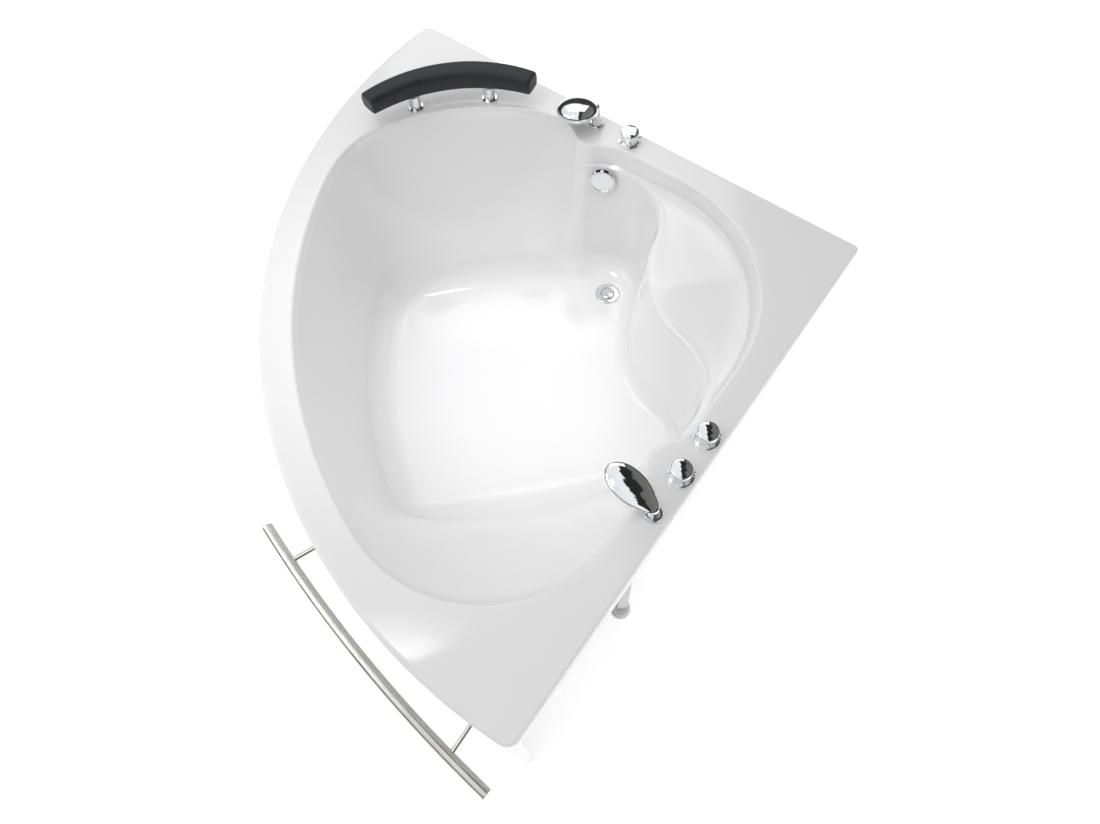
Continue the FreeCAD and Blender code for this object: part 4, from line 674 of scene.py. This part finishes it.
def tub_skin():
    insets = [RIM["lip_round"] * (1 - cos(turn)) for turn in quarter(6)]
    rims = [polar([(1, half_rim(inset)), (-1, half_rim(inset))]) for inset in insets]
    rings = []
    for angle in skin_angles(rims[0]):
        way = (cos(angle), sin(angle))
        outer = reach(rims[0], angle)
        column = [(outer, DECK - RIM["lip_drop"]), (outer, DECK - 24)]
        for table, turn in zip(rims, quarter(6)):
            column.append((reach(table, angle), DECK - RIM["lip_round"] * (1 - sin(turn))))
        down = profile(angle)
        brim = column[-1][0]
        for t in (0.05, 0.25, 0.5, 0.75, 0.95):
            column.append((brim + (down[0][1] - brim) * t, DECK))
        column += [(radius, DECK - depth) for depth, radius in down]
        last = down[-1][1]
        for t in (0.97, 0.88, 0.74, 0.6, 0.46, 0.32, 0.18, 0.07):
            column.append((last * t, DECK - DEPTH))
        rings.append([diagonal(MIDDLE + radius * way[0], radius * way[1], z) for radius, z in column])
    verts = [v for ring in rings for v in ring]
    count = len(rings[0])
    total = len(rings)
    faces = []
    for r in range(total):
        s = (r + 1) % total
        for i in range(count - 1):
            faces.append((r * count + i, s * count + i, s * count + i + 1, r * count + i + 1))
    centre = len(verts)
    verts.append(diagonal(MIDDLE, 0, DECK - DEPTH))
    for r in range(total):
        faces.append((r * count + count - 1, ((r + 1) % total) * count + count - 1, centre))
    mesh = outwards(mesh_of("tub_skin", verts, faces))
    piece = make_piece("tub_skin", mesh, "tub_body", "acrylic", ["tub_shell"], 40)
    up = sum(face.normal.z * face.area for face in mesh.polygons)
    shell = piece.modifiers.new("thick", "SOLIDIFY")
    shell.thickness = WALL * MM
    shell.offset = -1 if up > 0 else 1
    shell.use_even_offset = True
    drilled(piece, tub_bores())
    piece.data.set_sharp_from_angle(angle=radians(40))


tub_skin()


# apron ------------------------

def apron_line():
    """The apron's plan from one tip round the front to the other, as row x and y."""
    points = []
    inset = SKIRT["inset"]
    tip = RIM["tip_round"] - inset
    front_arcs(points, RIM["front_radius"] - inset, tip, inset + tip, 6)
    line = [Vector((off, -along, 0)) for along, off in points]
    return line + [Vector((-p.y, -p.x, 0)) for p in reversed(line[:-1])]


def apron():
    line = apron_line()
    thick, low, high = SKIRT["thick"], SKIRT["low"], SKIRT["high"]
    section = [(0, z) for z in (low, 24, 60, 200, 340, 480, 550, high - 1)]
    section += [(0.8, high), (3.2, high)] + [(thick, z) for z in (high - 1, 550, 300, 60, low + 1)]
    section += [(3.2, low), (0.8, low)]
    rings = []
    for i, point in enumerate(line):
        along = (line[min(i + 1, len(line) - 1)] - line[max(i - 1, 0)]).normalized()
        inward = Vector((0, 0, 1)).cross(along)
        if inward.dot(Vector((700, -700, 0)) - point) < 0:
            inward = -inward
        rings.append([(point + inward * depth + Vector((0, 0, z))) * MM for depth, z in section])
    # its darker acrylic is painted shade
    add_solids("apron_panel", [loft(rings)], "tub_body", "apron_acrylic", ["front_apron"], 50)


apron()


# headrest ------------------------

REST = dict(out=945, across=287, radius=397, half_angle=34, half_width=31, low=46, height=56, crown=5.0,
            swell=3.0, belly=0.8, taper=0.12, top_round=15, low_round=10, end_round=7)
DENTS = dict(scale=14.0, deep=0.00035, sunk=0.0002)


def corner_arc(wide, high, bow, side_bow, round_off, level, steps=6):
    """The round between a bowed top and a bowed side; level -1 turns it to the underside."""
    x = wide - round_off
    y = high - round_off
    for _ in range(40):
        y = high - bow + sqrt((bow - round_off) ** 2 - x ** 2)
        x = wide - side_bow + sqrt((side_bow - round_off) ** 2 - y ** 2)
    first = atan2(y - (high - bow), x)
    last = atan2(y, x - (wide - side_bow))
    turns = [first + (last - first) * i / steps for i in range(steps + 1)]
    return [(x + round_off * cos(turn), level * (y + round_off * sin(turn))) for turn in turns]


def bowed(start, end, middle, steps):
    """Points between start and end, swelling out by middle halfway."""
    points = []
    for i in range(1, steps):
        t = i / steps
        x = start[0] + (end[0] - start[0]) * t
        y = start[1] + (end[1] - start[1]) * t
        swell = 4 * t * (1 - t)
        points.append((x + middle[0] * swell, y + middle[1] * swell))
    return points


def rest_section(turn, inset):
    """The headrest's section at a turn from its middle, drawn in by inset."""
    taper = 1 - REST["taper"] * (turn / REST["half_angle"]) ** 2
    wide = REST["half_width"] * taper - inset
    high = REST["height"] / 2 * taper - inset
    side_bow = high ** 2 / (2 * REST["swell"] * taper)
    top_bow = wide ** 2 / (2 * REST["crown"] * taper)
    low_bow = wide ** 2 / (2 * REST["belly"] * taper)
    top = corner_arc(wide, high, top_bow, side_bow, REST["top_round"], 1)
    low = corner_arc(wide, high, low_bow, side_bow, REST["low_round"], -1)[::-1]
    rise = high - top[0][1]
    side = wide - (top[-1][0] + low[0][0]) / 2
    drop = -high - low[-1][1]
    right = top + bowed(top[-1], low[0], (side, 0), 5) + low
    over = bowed((-top[0][0], top[0][1]), top[0], (0, rise), 8)
    under = bowed(low[-1], (-low[-1][0], low[-1][1]), (0, drop), 8)
    loop = over + right + under + [(-x, y) for x, y in right[::-1]]
    angle = radians(turn)
    middle = DECK + REST["low"] + REST["height"] / 2
    points = []
    for x, y in loop:
        radius = REST["radius"] + x
        points.append(diagonal(REST["out"] + radius * sin(-angle),
                               REST["across"] + radius * cos(angle), middle + y))
    return points


def headrest():
    last = REST["half_angle"]
    end = REST["end_round"]
    per_mm = degrees(1 / REST["radius"])
    ends = []
    for i in range(7):
        slope = radians(90) * i / 6
        ends.append((last - end * per_mm * (1 - cos(slope)), end * (1 - sin(slope))))
    inner = ends[-1][0]
    stations = ends + [(inner * i / 24, 0.0) for i in range(23, -24, -1)]
    stations += [(-turn, inset) for turn, inset in ends[::-1]]
    rings = [rest_section(turn, inset) for turn, inset in stations]
    verts, faces = loft(rings, False)
    count = len(rings[0])
    for first in (0, (len(rings) - 1) * count):
        loop = [verts[first + i] for i in range(count)]
        centre = sum(loop, Vector()) / count
        outer = [first + i for i in range(count)]
        for shrink in (0.94, 0.7, 0.4):
            ring = []
            for i in range(count):
                ring.append(len(verts))
                verts.append(centre + (loop[i] - centre) * shrink)
            for i in range(count):
                j = (i + 1) % count
                faces.append((outer[i], outer[j], ring[j], ring[i]))
            outer = ring
        hub = len(verts)
        verts.append(centre)
        for i in range(count):
            faces.append((outer[i], outer[(i + 1) % count], hub))
    mesh = outwards(mesh_of("headrest_pad", verts, faces))
    piece = make_piece("headrest_pad", mesh, "tub_body", "pillow_foam", ["pillow_cushion"], 75)
    smooth = piece.modifiers.new("smooth", "SUBSURF")
    smooth.levels = 1
    bake(piece)
    for vert in piece.data.vertices:
        broad = noise.noise(vert.co * DENTS["scale"])
        vert.co += vert.normal * (broad * DENTS["deep"] - DENTS["sunk"])


headrest()


def headrest_posts():
    posts = []
    rings = []
    stud, shaft, top = 5, 16, REST["low"]
    for side in (-1, 1):
        post = [(0, -25), (stud, -25), (stud, 5.2), (shaft, 5.2), (shaft, top), (0, top)]
        posts.append(lathe(soften(post, 0.8), post_place(side)))
        rings.append(lathe(soften([(5.2, 0), (21, 0), (21, 5), (5.2, 5)], 1.2), post_place(side)))
    add_solids("headrest_posts", posts, "tub_body", "chrome_soft", ["pillow_posts"])
    add_solids("headrest_rings", rings, "tub_body", "chrome", ["pillow_base_rings"])


headrest_posts()


# knobs ------------------------

KNOB = dict(seat=5.5, radius=24.5, bore=7, socket=15, top=33.5, nub_out=30.5, nub_radius=2.8, nub_high=9,
            nub_bearing=36, nubs=4)


def knobs():
    stations = {"hot": back_wall(STATION["mid"], STATION["off"], DECK),
                "cold": back_wall(STATION["near"], STATION["off"], DECK),
                "diverter": left_wall(STATION["near"], STATION["off"], DECK)}
    rings = []
    for name, place in stations.items():
        ring = [(16, 0), (30, 0), (30, 3), (26, 3), (26, 5), (16, 5), (16, 0.2)]
        rings.append(lathe(soften(ring, 1.0), place))
        wide, bore, socket = KNOB["radius"], KNOB["bore"], KNOB["socket"]
        groove = [(wide, 7.4), (wide - 0.6, 8.0), (wide, 8.6)]
        crown = [(wide, 29), (wide - 2, 31), (wide / 2, 32.9), (0, KNOB["top"])]
        body = soften([(bore, 0), (wide, 0)] + groove + crown, 1.4)
        base = place + Vector((0, 0, KNOB["seat"])) * MM
        parts = [lathe([(0, socket), (bore, socket)] + body, base)]
        nub_place = place + Vector((0, 0, KNOB["seat"] + KNOB["nub_high"])) * MM
        for i in range(KNOB["nubs"]):
            bearing = radians(KNOB["nub_bearing"] + 360 / KNOB["nubs"] * i)
            way = Vector((cos(bearing), sin(bearing), 0))
            radius, out = KNOB["nub_radius"], KNOB["nub_out"]
            nub = soften([(0, 20), (radius, 20), (radius, out), (0, out)], 1.1)
            parts.append(lathe(nub, nub_place, way, 32))
        add_solids(name + "_handle", parts, name + "_knob_body", "chrome", [name + "_knob"], 40)
    add_solids("valve_rings", rings, "tub_body", "chrome", ["valve_base_rings"])


knobs()


# spout ------------------------

SPOUT = dict(length=132, wide=37, back=10, rise=38, thick=20, turn=9, widest=0.56, arch=10, arch_top=0.8,
             heel=0.09)


def leaf_half_width(t):
    """Half the leaf's width at a share t of its length from the heel."""
    wide, widest = SPOUT["wide"], SPOUT["widest"]
    if t <= widest:
        return wide * (0.30 + 0.70 * sin(t / widest * pi / 2) ** 1.05)
    return wide * sqrt(max(0.0, 1 - ((t - widest) / (1 - widest)) ** 2.2))


def spout():
    base = STATION["off"] - SPOUT["back"]
    length = SPOUT["length"] + SPOUT["back"]
    rings = []
    heel, top = SPOUT["heel"], SPOUT["arch_top"]
    places = [0.0012, 0.006, 0.015, 0.03, 0.05, 0.07, heel] + [heel + 0.73 * i / 22 for i in range(1, 23)]
    places += [0.85, 0.88, 0.91, 0.935, 0.955, 0.97, 0.982, 0.99, 0.9955, 0.9988]
    for t in places:
        start = 1.0
        if t < heel:
            start = sqrt(1 - (1 - t / heel) ** 2)
        half = leaf_half_width(t) * start
        thick = SPOUT["thick"] / 2 * start * min(1.0, (half / SPOUT["wide"]) ** 0.5 + 0.08)
        thick = min(thick, max(half, 0.4))
        rise = DECK + SPOUT["rise"] + 3 - SPOUT["arch"] * ((t - top) / top) ** 2
        ring = []
        for i in range(64):
            turn = 2 * pi * i / 64
            side = half * copysign(abs(cos(turn)) ** 0.94, cos(turn))
            up = thick * copysign(abs(sin(turn)) ** 0.8, sin(turn))
            ring.append(Vector((STATION["far"] + side, -base - length * t, rise + up)) * MM)
        rings.append(ring)
    place = back_wall(STATION["far"], STATION["off"], DECK)
    swing = (Matrix.Translation(place) @ Matrix.Rotation(radians(-SPOUT["turn"]), 4, "Z")
             @ Matrix.Translation(-place))
    leaf = loft([[swing @ point for point in ring] for ring in rings])
    neck = lathe(soften([(0, 7), (12, 7), (10.2, 12), (10, 30), (0, 30)], 2.0), place, steps=64)
    add_solids("spout_leaf", [leaf, neck], "tub_body", "chrome", ["spout_body"], 50)
    ring = [(6.5, -46), (16, -46), (16, 0), (20, 0), (20, 5.5), (18.5, 7), (6.5, 7), (6.5, -45.9)]
    add_solids("spout_ring", [lathe(soften(ring, 0.9), place)], "tub_body", "chrome_soft",
               ["spout_base_ring"])


spout()


# hand shower ------------------------

HEAD = dict(off_x=36, off_y=38, rise=50, tilt=14, lean=215, radius=56.0, rim=8.0, dome=24.0, under=9.0,
            step=4.5)
SPRAY_RINGS = ((8, 6), (16, 12), (24, 18), (32, 24))


def dome_outline():
    radius, rim, dome, under, step = (HEAD[key] for key in ("radius", "rim", "dome", "under", "step"))
    inner = radius - 1 - 3 * step
    low = [(38, -under), (inner, -under), (inner, -under * 0.6), (inner + step, -under * 0.6),
           (inner + step, -under * 0.25), (inner + 2 * step, -under * 0.25), (inner + 2 * step, under * 0.2),
           (radius - 1, under * 0.2), (radius - 1, rim - 3), (radius, rim - 2), (radius, rim)]
    shell = soften(low, 0.7, 3)
    for slope in quarter(20)[1:-1]:
        shell.append((radius * cos(slope) ** 0.92, rim + dome * sin(slope) ** 1.05))
    return [(0, -3), (38, -3)] + shell + [(0, rim + dome)]


def neck_outline():
    """A cone from the socket up into the head, with a round end."""
    low, wide, narrow = 7, 15.5, 7.5
    top = HEAD["rise"] + HEAD["rim"] + 4
    neck = soften([(0, 7.2), (15.4, 7.2), (14.9, 11)], 0.8)[:-1]
    neck += [(wide - 8 * (z - low) / (top - low), z) for z in (11, 20, 30, 40, 50, top - 2)]
    neck += [(narrow * cos(turn), top + narrow * sin(turn)) for turn in quarter(6)[:-1]]
    return neck + [(0, top + narrow)]


def hand_shower():
    place = left_wall(STATION["mid"], STATION["off"], DECK)
    socket = [(11.8, -69), (16, -69), (16, 0), (20, 0), (20, 5), (18, 7), (11.8, 7), (11.8, -68.9)]
    add_solids("socket_ring", [lathe(soften(socket, 0.9), place)], "tub_body", "chrome",
               ["shower_socket"])
    centre = place + Vector((HEAD["off_x"], -HEAD["off_y"], HEAD["rise"])) * MM
    lean = radians(HEAD["lean"])
    tilt = radians(HEAD["tilt"])
    up = Vector((cos(lean) * sin(tilt), sin(lean) * sin(tilt), cos(tilt)))
    add_solids("shower_dome", [lathe(dome_outline(), centre, up, 128)], "hand_shower_body", "chrome",
               ["shower_head"], 38)
    add_solids("shower_neck", [lathe(neck_outline(), place, steps=64)], "hand_shower_body", "chrome_soft",
               (), 50)
    face = [(0, -3), (37.9, -3), (37.9, -9), (36.5, -10.6), (30, -11), (0, -11)]
    parts = [lathe(soften(face, 0.8), centre, up, 96)]
    lay = axis_matrix(centre, up)
    for ring_radius, count in SPRAY_RINGS:
        for i in range(count):
            turn = 2 * pi * i / count
            spot = lay @ (Vector((ring_radius * cos(turn), ring_radius * sin(turn), -10.8)) * MM)
            parts.append(lathe([(0, 0), (1.3, 0), (0.9, -0.2), (0, -0.2)], spot, up, 10))
    add_solids("spray_disc", parts, "hand_shower_body", "spray_face", ["shower_face"])


hand_shower()


# overflow and drain ------------------------

def overflow():
    disc = [(0, 7.5), (34.5, 7.5), (37, 9.5), (37, 16), (34.8, 18.5), (31.2, 18.5), (30.2, 16.9), (0, 16.9)]
    add_solids("overflow_dial", [lathe(soften(disc, 1.0), OVERFLOW, OVERFLOW_WAY)], "overflow_knob_body",
               "chrome_soft", ["overflow_knob"], 40)
    sideways = Vector((0, 0, 1)).cross(OVERFLOW_WAY).normalized()
    upwards = OVERFLOW_WAY.cross(sideways)

    def arc(outline, middle, half):
        """Sweeps an outline round the disc, half degrees to either side of middle."""
        rings = []
        for i in range(21):
            turn = radians(middle + half * (i / 10 - 1))
            ray = upwards * cos(turn) - sideways * sin(turn)
            rings.append([OVERFLOW + (ray * radius + OVERFLOW_WAY * high) * MM for radius, high in outline])
        return loft(rings)

    # Dark rubber-toned strips laid on the dial: painted shade where the inlet slots open in the rim, and
    # along the step inside the rim (the groove arc) a painted shadow and dark reflection.
    slot_shade = ((36.6, 9.7), (37.25, 9.7), (37.25, 16.05), (35.0, 18.75), (34.2, 18.3))
    groove = ((29.6, 16.8), (31.3, 16.8), (31.6, 17.6), (29.9, 17.15))
    shade_marks = [arc(slot_shade, -15, 11), arc(slot_shade, 20, 11), arc(groove, 0, 62)]
    add_solids("overflow_painted_shade", shade_marks, "overflow_knob_body", "seal_rubber", (), 50)


overflow()


def drain():
    flange = [(20, -32), (24, -32), (24, 0), (35, 0), (35, 1.2), (33.5, 2.4), (21.5, 2.4), (20, 1.2),
              (20, -31.9)]
    plug = [(0, -44.6), (4, -44.6), (4, -2.6), (15.8, -2.6), (18.8, -0.6), (18.8, 1.4), (16.8, 2.4),
            (9, 3.3), (0, 3.6)]
    joint = [(34.6, 0.05), (36.2, 0.05), (35.6, 0.5), (34.8, 0.9), (34.6, 0.05)]
    seal = [(18.4, -1.4), (19.7, -1.4), (19.7, 1.2), (18.7, 1.5), (18.4, -1.4)]
    place = diagonal(*DRAIN, DECK - DEPTH)
    for name, outline, *rest in (
            ("drain_flange", soften(flange, 0.6), "tub_body", "chrome", ["waste_flange"]),
            ("drain_cap", soften(plug, 0.7), "plug_body", "chrome", ["drain_plug"]),
            ("drain_joint", joint, "tub_body", "grey_plastic"),
            ("drain_seal", seal, "plug_body", "seal_rubber")):
        add_solids(name, [lathe(outline, place)], *rest)


drain()


# grab rail ------------------------

RAIL = dict(drop=105, radius=12.5, wall=1.5, middle=80, stand=1319.5, bow=3275, half=365, post_half=267,
            post=6, flange=15, flange_thick=3, stud=4, cap=2.5, around=48, along=40)


def rail_centre():
    """The middle of the rail's bow."""
    middle = radians(RAIL["middle"])
    centre = RIM["front_centre"]
    radius = RAIL["stand"] - RAIL["bow"]
    return left_wall(centre + radius * cos(middle), centre + radius * sin(middle),
                     DECK - RAIL["drop"])


def rail_point(side_way):
    angle = radians(RAIL["middle"]) + asin(side_way / RAIL["bow"])
    return rail_centre() + Vector((sin(angle), -cos(angle), 0)) * RAIL["bow"] * MM


def rail_bar():
    up = Vector((0, 0, 1))
    around, along = RAIL["around"], RAIL["along"]
    turns = [2 * pi * k / around for k in range(around)]
    outer = []
    inner = []
    for i in range(2 * along + 1):
        point = rail_point(RAIL["half"] * (i / along - 1))
        side = (point - rail_centre()).normalized()
        for rings, radius in ((outer, RAIL["radius"]), (inner, RAIL["radius"] - RAIL["wall"])):
            rings.append([point + (side * cos(turn) + up * sin(turn)) * radius * MM
                          for turn in turns])
    verts, faces = loft(outer + inner[::-1], False)
    last = (len(outer) * 2 - 1) * around
    for k in range(around):
        j = (k + 1) % around
        faces.append((last + k, last + j, j, k))
    add_solids("rail_bar", [(verts, faces)], "tub_body", "rail_steel", ["rail_tube"], 50)


def rail_caps():
    caps = []
    radius, thick = RAIL["radius"], RAIL["cap"]
    for sign in (-1, 1):
        end = rail_point(sign * RAIL["half"])
        along = Vector((0, 0, 1)).cross((end - rail_centre()).normalized())
        if along.dot(end - rail_point(0)) < 0:
            along = -along
        cap = soften([(0, 0.02), (radius, 0.02), (radius, thick), (0, thick)], 1.5, 6)
        caps.append(lathe(cap, end, along, 64))
    add_solids("rail_caps", caps, "tub_body", "rail_steel", ["rail_end_caps"])


def rail_mounts():
    hub = Vector((RIM["front_centre"], -RIM["front_centre"], DECK - RAIL["drop"])) * MM
    posts = []
    flanges = []
    stud, post, flange, thick = RAIL["stud"], RAIL["post"], RAIL["flange"], RAIL["flange_thick"]
    for sign in (-1, 1):
        point = rail_point(sign * RAIL["post_half"])
        way = (point - hub).normalized()
        foot_point = hub + way * (RIM["front_radius"] - SKIRT["inset"]) * MM
        top = (point - foot_point).length / MM - 11
        posts.append(lathe([(0, -14), (stud, -14), (stud, thick), (post, thick), (post, top), (0, top)],
                           foot_point, way, 40))
        rose = [(4.1, 0.05), (flange, 0.05), (flange, 2.2), (13.8, thick), (4.1, thick), (4.1, 0.1)]
        flanges.append(lathe(soften(rose, 0.6), foot_point, way, 64))
    add_solids("rail_stems", posts, "tub_body", "rail_steel", ["rail_posts"])
    add_solids("rail_roses", flanges, "tub_body", "rail_steel", ["rail_flanges"])


rail_bar()
rail_caps()
rail_mounts()


# studio ------------------------

FLOOR_GLOW = 0.45
SKY_STRENGTH = 0.99
SKY = [(0.0, (0.80,) * 3), (0.18, (0.80,) * 3), (0.34, (0.42,) * 3), (0.62, (0.34,) * 3), (0.76, (0.32,) * 3),
       (0.80, (1.0,) * 3), (1.0, (1.06,) * 3)]
SKY_JAG = 0.22
# what polished metal mirrors: bright on the far side, dark overhead towards the camera, grey behind it
MIRROR_WAY = (-0.586, 0.810, 0.0)
MIRROR_JAG = 0.30
MIRROR = [(0.0, (0.80, 0.83, 0.88)), (0.525, (0.98, 1.0, 1.04)), (0.54, (0.020, 0.026, 0.022)),
          (0.625, (0.022, 0.028, 0.022)), (0.635, (0.155, 0.15, 0.138)), (1.0, (0.23, 0.225, 0.21))]
MIRROR_RISE = [(0.0, (0, 0, 0)), (0.36, (0, 0, 0)), (0.42, (1, 1, 1)), (1.0, (1, 1, 1))]
MIRROR_RISE_JAG = 0.16
MIRROR_LOW = (0.045, 0.05, 0.046)
# name, place, what it points at, its two sides and its power
LAMPS = [("front_box", (2.3, -2.3, 2.4), (0.6, -0.6, 0.3), 2.2, 1.6, 17),
         ("side_box", (-1.3, -1.9, 2.4), (0.7, -0.6, 0.2), 2.0, 1.6, 11),
         ("back_fill", (1.0, 1.3, 0.35), (1.0, 0.0, 0.2), 1.0, 0.5, 5)]
BEAM = dict(place=(1.1, -1.1, 2.9), target=(0.65, -0.68, 0.2), tint=(0.985, 0.975, 1.0), power=105, spread=30,
            soft=0.35)


def pale_floor():
    """A wide pale floor; it glows a little for the camera and in mirrors, and keeps its shadows."""
    corners = [(-9, -10, -0.0008), (10, -10, -0.0008), (10, 9, -0.0008), (-9, 9, -0.0008)]
    floor = mesh_of("studio_floor", corners, [(0, 1, 2, 3)])
    paint = Paint("pale_floor")
    paint.mottle(0.6, 3.0, (0.93, 0.93, 0.935), (0.95, 0.95, 0.95), (0.85, 0.95))
    paint.shader.inputs["Emission Color"].default_value = (1, 1, 1, 1)
    path = paint.nodes.new("ShaderNodeLightPath").outputs
    seen = paint.nodes.new("ShaderNodeMath")
    seen.operation = "MAXIMUM"
    paint.link(path["Is Camera Ray"], seen.inputs[0])
    paint.link(path["Is Glossy Ray"], seen.inputs[1])
    glow = paint.nodes.new("ShaderNodeMath")
    glow.operation = "MULTIPLY"
    glow.inputs[1].default_value = FLOOR_GLOW
    paint.link(seen.outputs[0], glow.inputs[0])
    paint.link(glow.outputs[0], paint.shader.inputs["Emission Strength"])
    floor.materials.append(paint.material)
    plane = bpy.data.objects.new("studio_floor", floor)
    bpy.context.scene.collection.objects.link(plane)


def sky():
    world = bpy.data.worlds.new("studio_sky")
    bpy.context.scene.world = world
    world.use_nodes = True
    nodes, link = world.node_tree.nodes, world.node_tree.links.new
    where = nodes.new("ShaderNodeTexCoord").outputs["Generated"]
    split = nodes.new("ShaderNodeSeparateXYZ")
    link(where, split.inputs[0])
    jag = nodes.new("ShaderNodeTexNoise")
    jag.inputs["Scale"].default_value = 7.0
    jag.inputs["Detail"].default_value = 7.0
    jag.inputs["Roughness"].default_value = 0.62
    link(where, jag.inputs["Vector"])

    def banded(source, share, least, stops):
        """Colours along a direction's measure, from least to 1, made ragged by a share of noise."""
        add = nodes.new("ShaderNodeMath")
        add.operation = "MULTIPLY_ADD"
        add.inputs[1].default_value = share
        link(jag.outputs["Fac"], add.inputs[0])
        link(source, add.inputs[2])
        scale = nodes.new("ShaderNodeMapRange")
        scale.inputs["From Min"].default_value = least + share / 2
        scale.inputs["From Max"].default_value = 1.0 + share / 2
        link(add.outputs[0], scale.inputs["Value"])
        ramp = nodes.new("ShaderNodeValToRGB")
        while len(ramp.color_ramp.elements) < len(stops):
            ramp.color_ramp.elements.new(0.5)
        for element, (place, tone) in zip(ramp.color_ramp.elements, stops):
            element.position = place
            element.color = (*tone, 1.0)
        link(scale.outputs["Result"], ramp.inputs["Fac"])
        return ramp.outputs["Color"]

    def mixed(factor, first, second):
        mix = nodes.new("ShaderNodeMix")
        mix.data_type = "RGBA"
        link(factor, mix.inputs[0])
        for socket, value in ((mix.inputs[6], first), (mix.inputs[7], second)):
            if isinstance(value, bpy.types.NodeSocket):
                link(value, socket)
            else:
                socket.default_value = (*value, 1.0)
        return mix.outputs[2]

    sideways = nodes.new("ShaderNodeVectorMath")
    sideways.operation = "DOT_PRODUCT"
    sideways.inputs[1].default_value = MIRROR_WAY
    link(where, sideways.inputs[0])
    soft = banded(split.outputs["Z"], SKY_JAG, 0.0, SKY)
    overhead = banded(sideways.outputs["Value"], MIRROR_JAG, -1.0, MIRROR)
    height = banded(split.outputs["Z"], MIRROR_RISE_JAG, 0.0, MIRROR_RISE)
    path = nodes.new("ShaderNodeLightPath").outputs
    shown = mixed(path["Is Glossy Ray"], soft, mixed(height, MIRROR_LOW, overhead))
    shown = mixed(path["Is Camera Ray"], shown, (1.0 / SKY_STRENGTH,) * 3)
    back = nodes["Background"]
    link(shown, back.inputs["Color"])
    back.inputs["Strength"].default_value = SKY_STRENGTH


def hang_light(light, place, target):
    lamp = bpy.data.objects.new(light.name, light)
    bpy.context.scene.collection.objects.link(lamp)
    lamp.location = place
    lamp.rotation_euler = (Vector(target) - Vector(place)).to_track_quat("-Z", "Y").to_euler()


def lights():
    for name, place, target, wide, high, power in LAMPS:
        box = bpy.data.lights.new(name, "AREA")
        box.shape = "RECTANGLE"
        box.size = wide
        box.size_y = high
        box.energy = power
        hang_light(box, place, target)
    beam = bpy.data.lights.new("basin_spot", "SPOT")
    beam.energy = BEAM["power"]
    beam.spot_size = radians(BEAM["spread"])
    beam.spot_blend = 1.0
    beam.shadow_soft_size = BEAM["soft"]
    beam.color = BEAM["tint"]
    hang_light(beam, BEAM["place"], BEAM["target"])


pale_floor()
sky()
lights()


def camera():
    """The photograph's camera: its place, its right, down and forward ways and its focal length."""
    place = Vector((1.40501, 0.16675, 2.22600))
    right = Vector((-0.58607199, 0.81013352, -0.01425832))
    down = Vector((0.71787510, 0.51100882, -0.47278465))
    ahead = Vector((-0.37573257, -0.28732153, -0.88106264))
    wide_px, high_px, focal_px = 1100.0, 824.0, 824.095
    centre_px = (571.017, 374.945)
    data = bpy.data.cameras.new("photo_camera")
    data.sensor_fit = "HORIZONTAL"
    data.sensor_width = 36.0
    data.lens = 36.0 * focal_px / wide_px
    data.shift_x = (wide_px / 2 - centre_px[0]) / wide_px
    data.shift_y = (centre_px[1] - high_px / 2) / wide_px
    data.clip_end = 60.0
    eye = bpy.data.objects.new("photo_camera", data)
    bpy.context.scene.collection.objects.link(eye)
    turn = Matrix((right, -down, -ahead)).transposed()
    eye.matrix_world = Matrix.Translation(place) @ turn.to_4x4()
    bpy.context.scene.camera = eye


camera()
bpy.context.scene.view_settings.view_transform = "Standard"
bpy.context.scene.view_settings.look = "None"
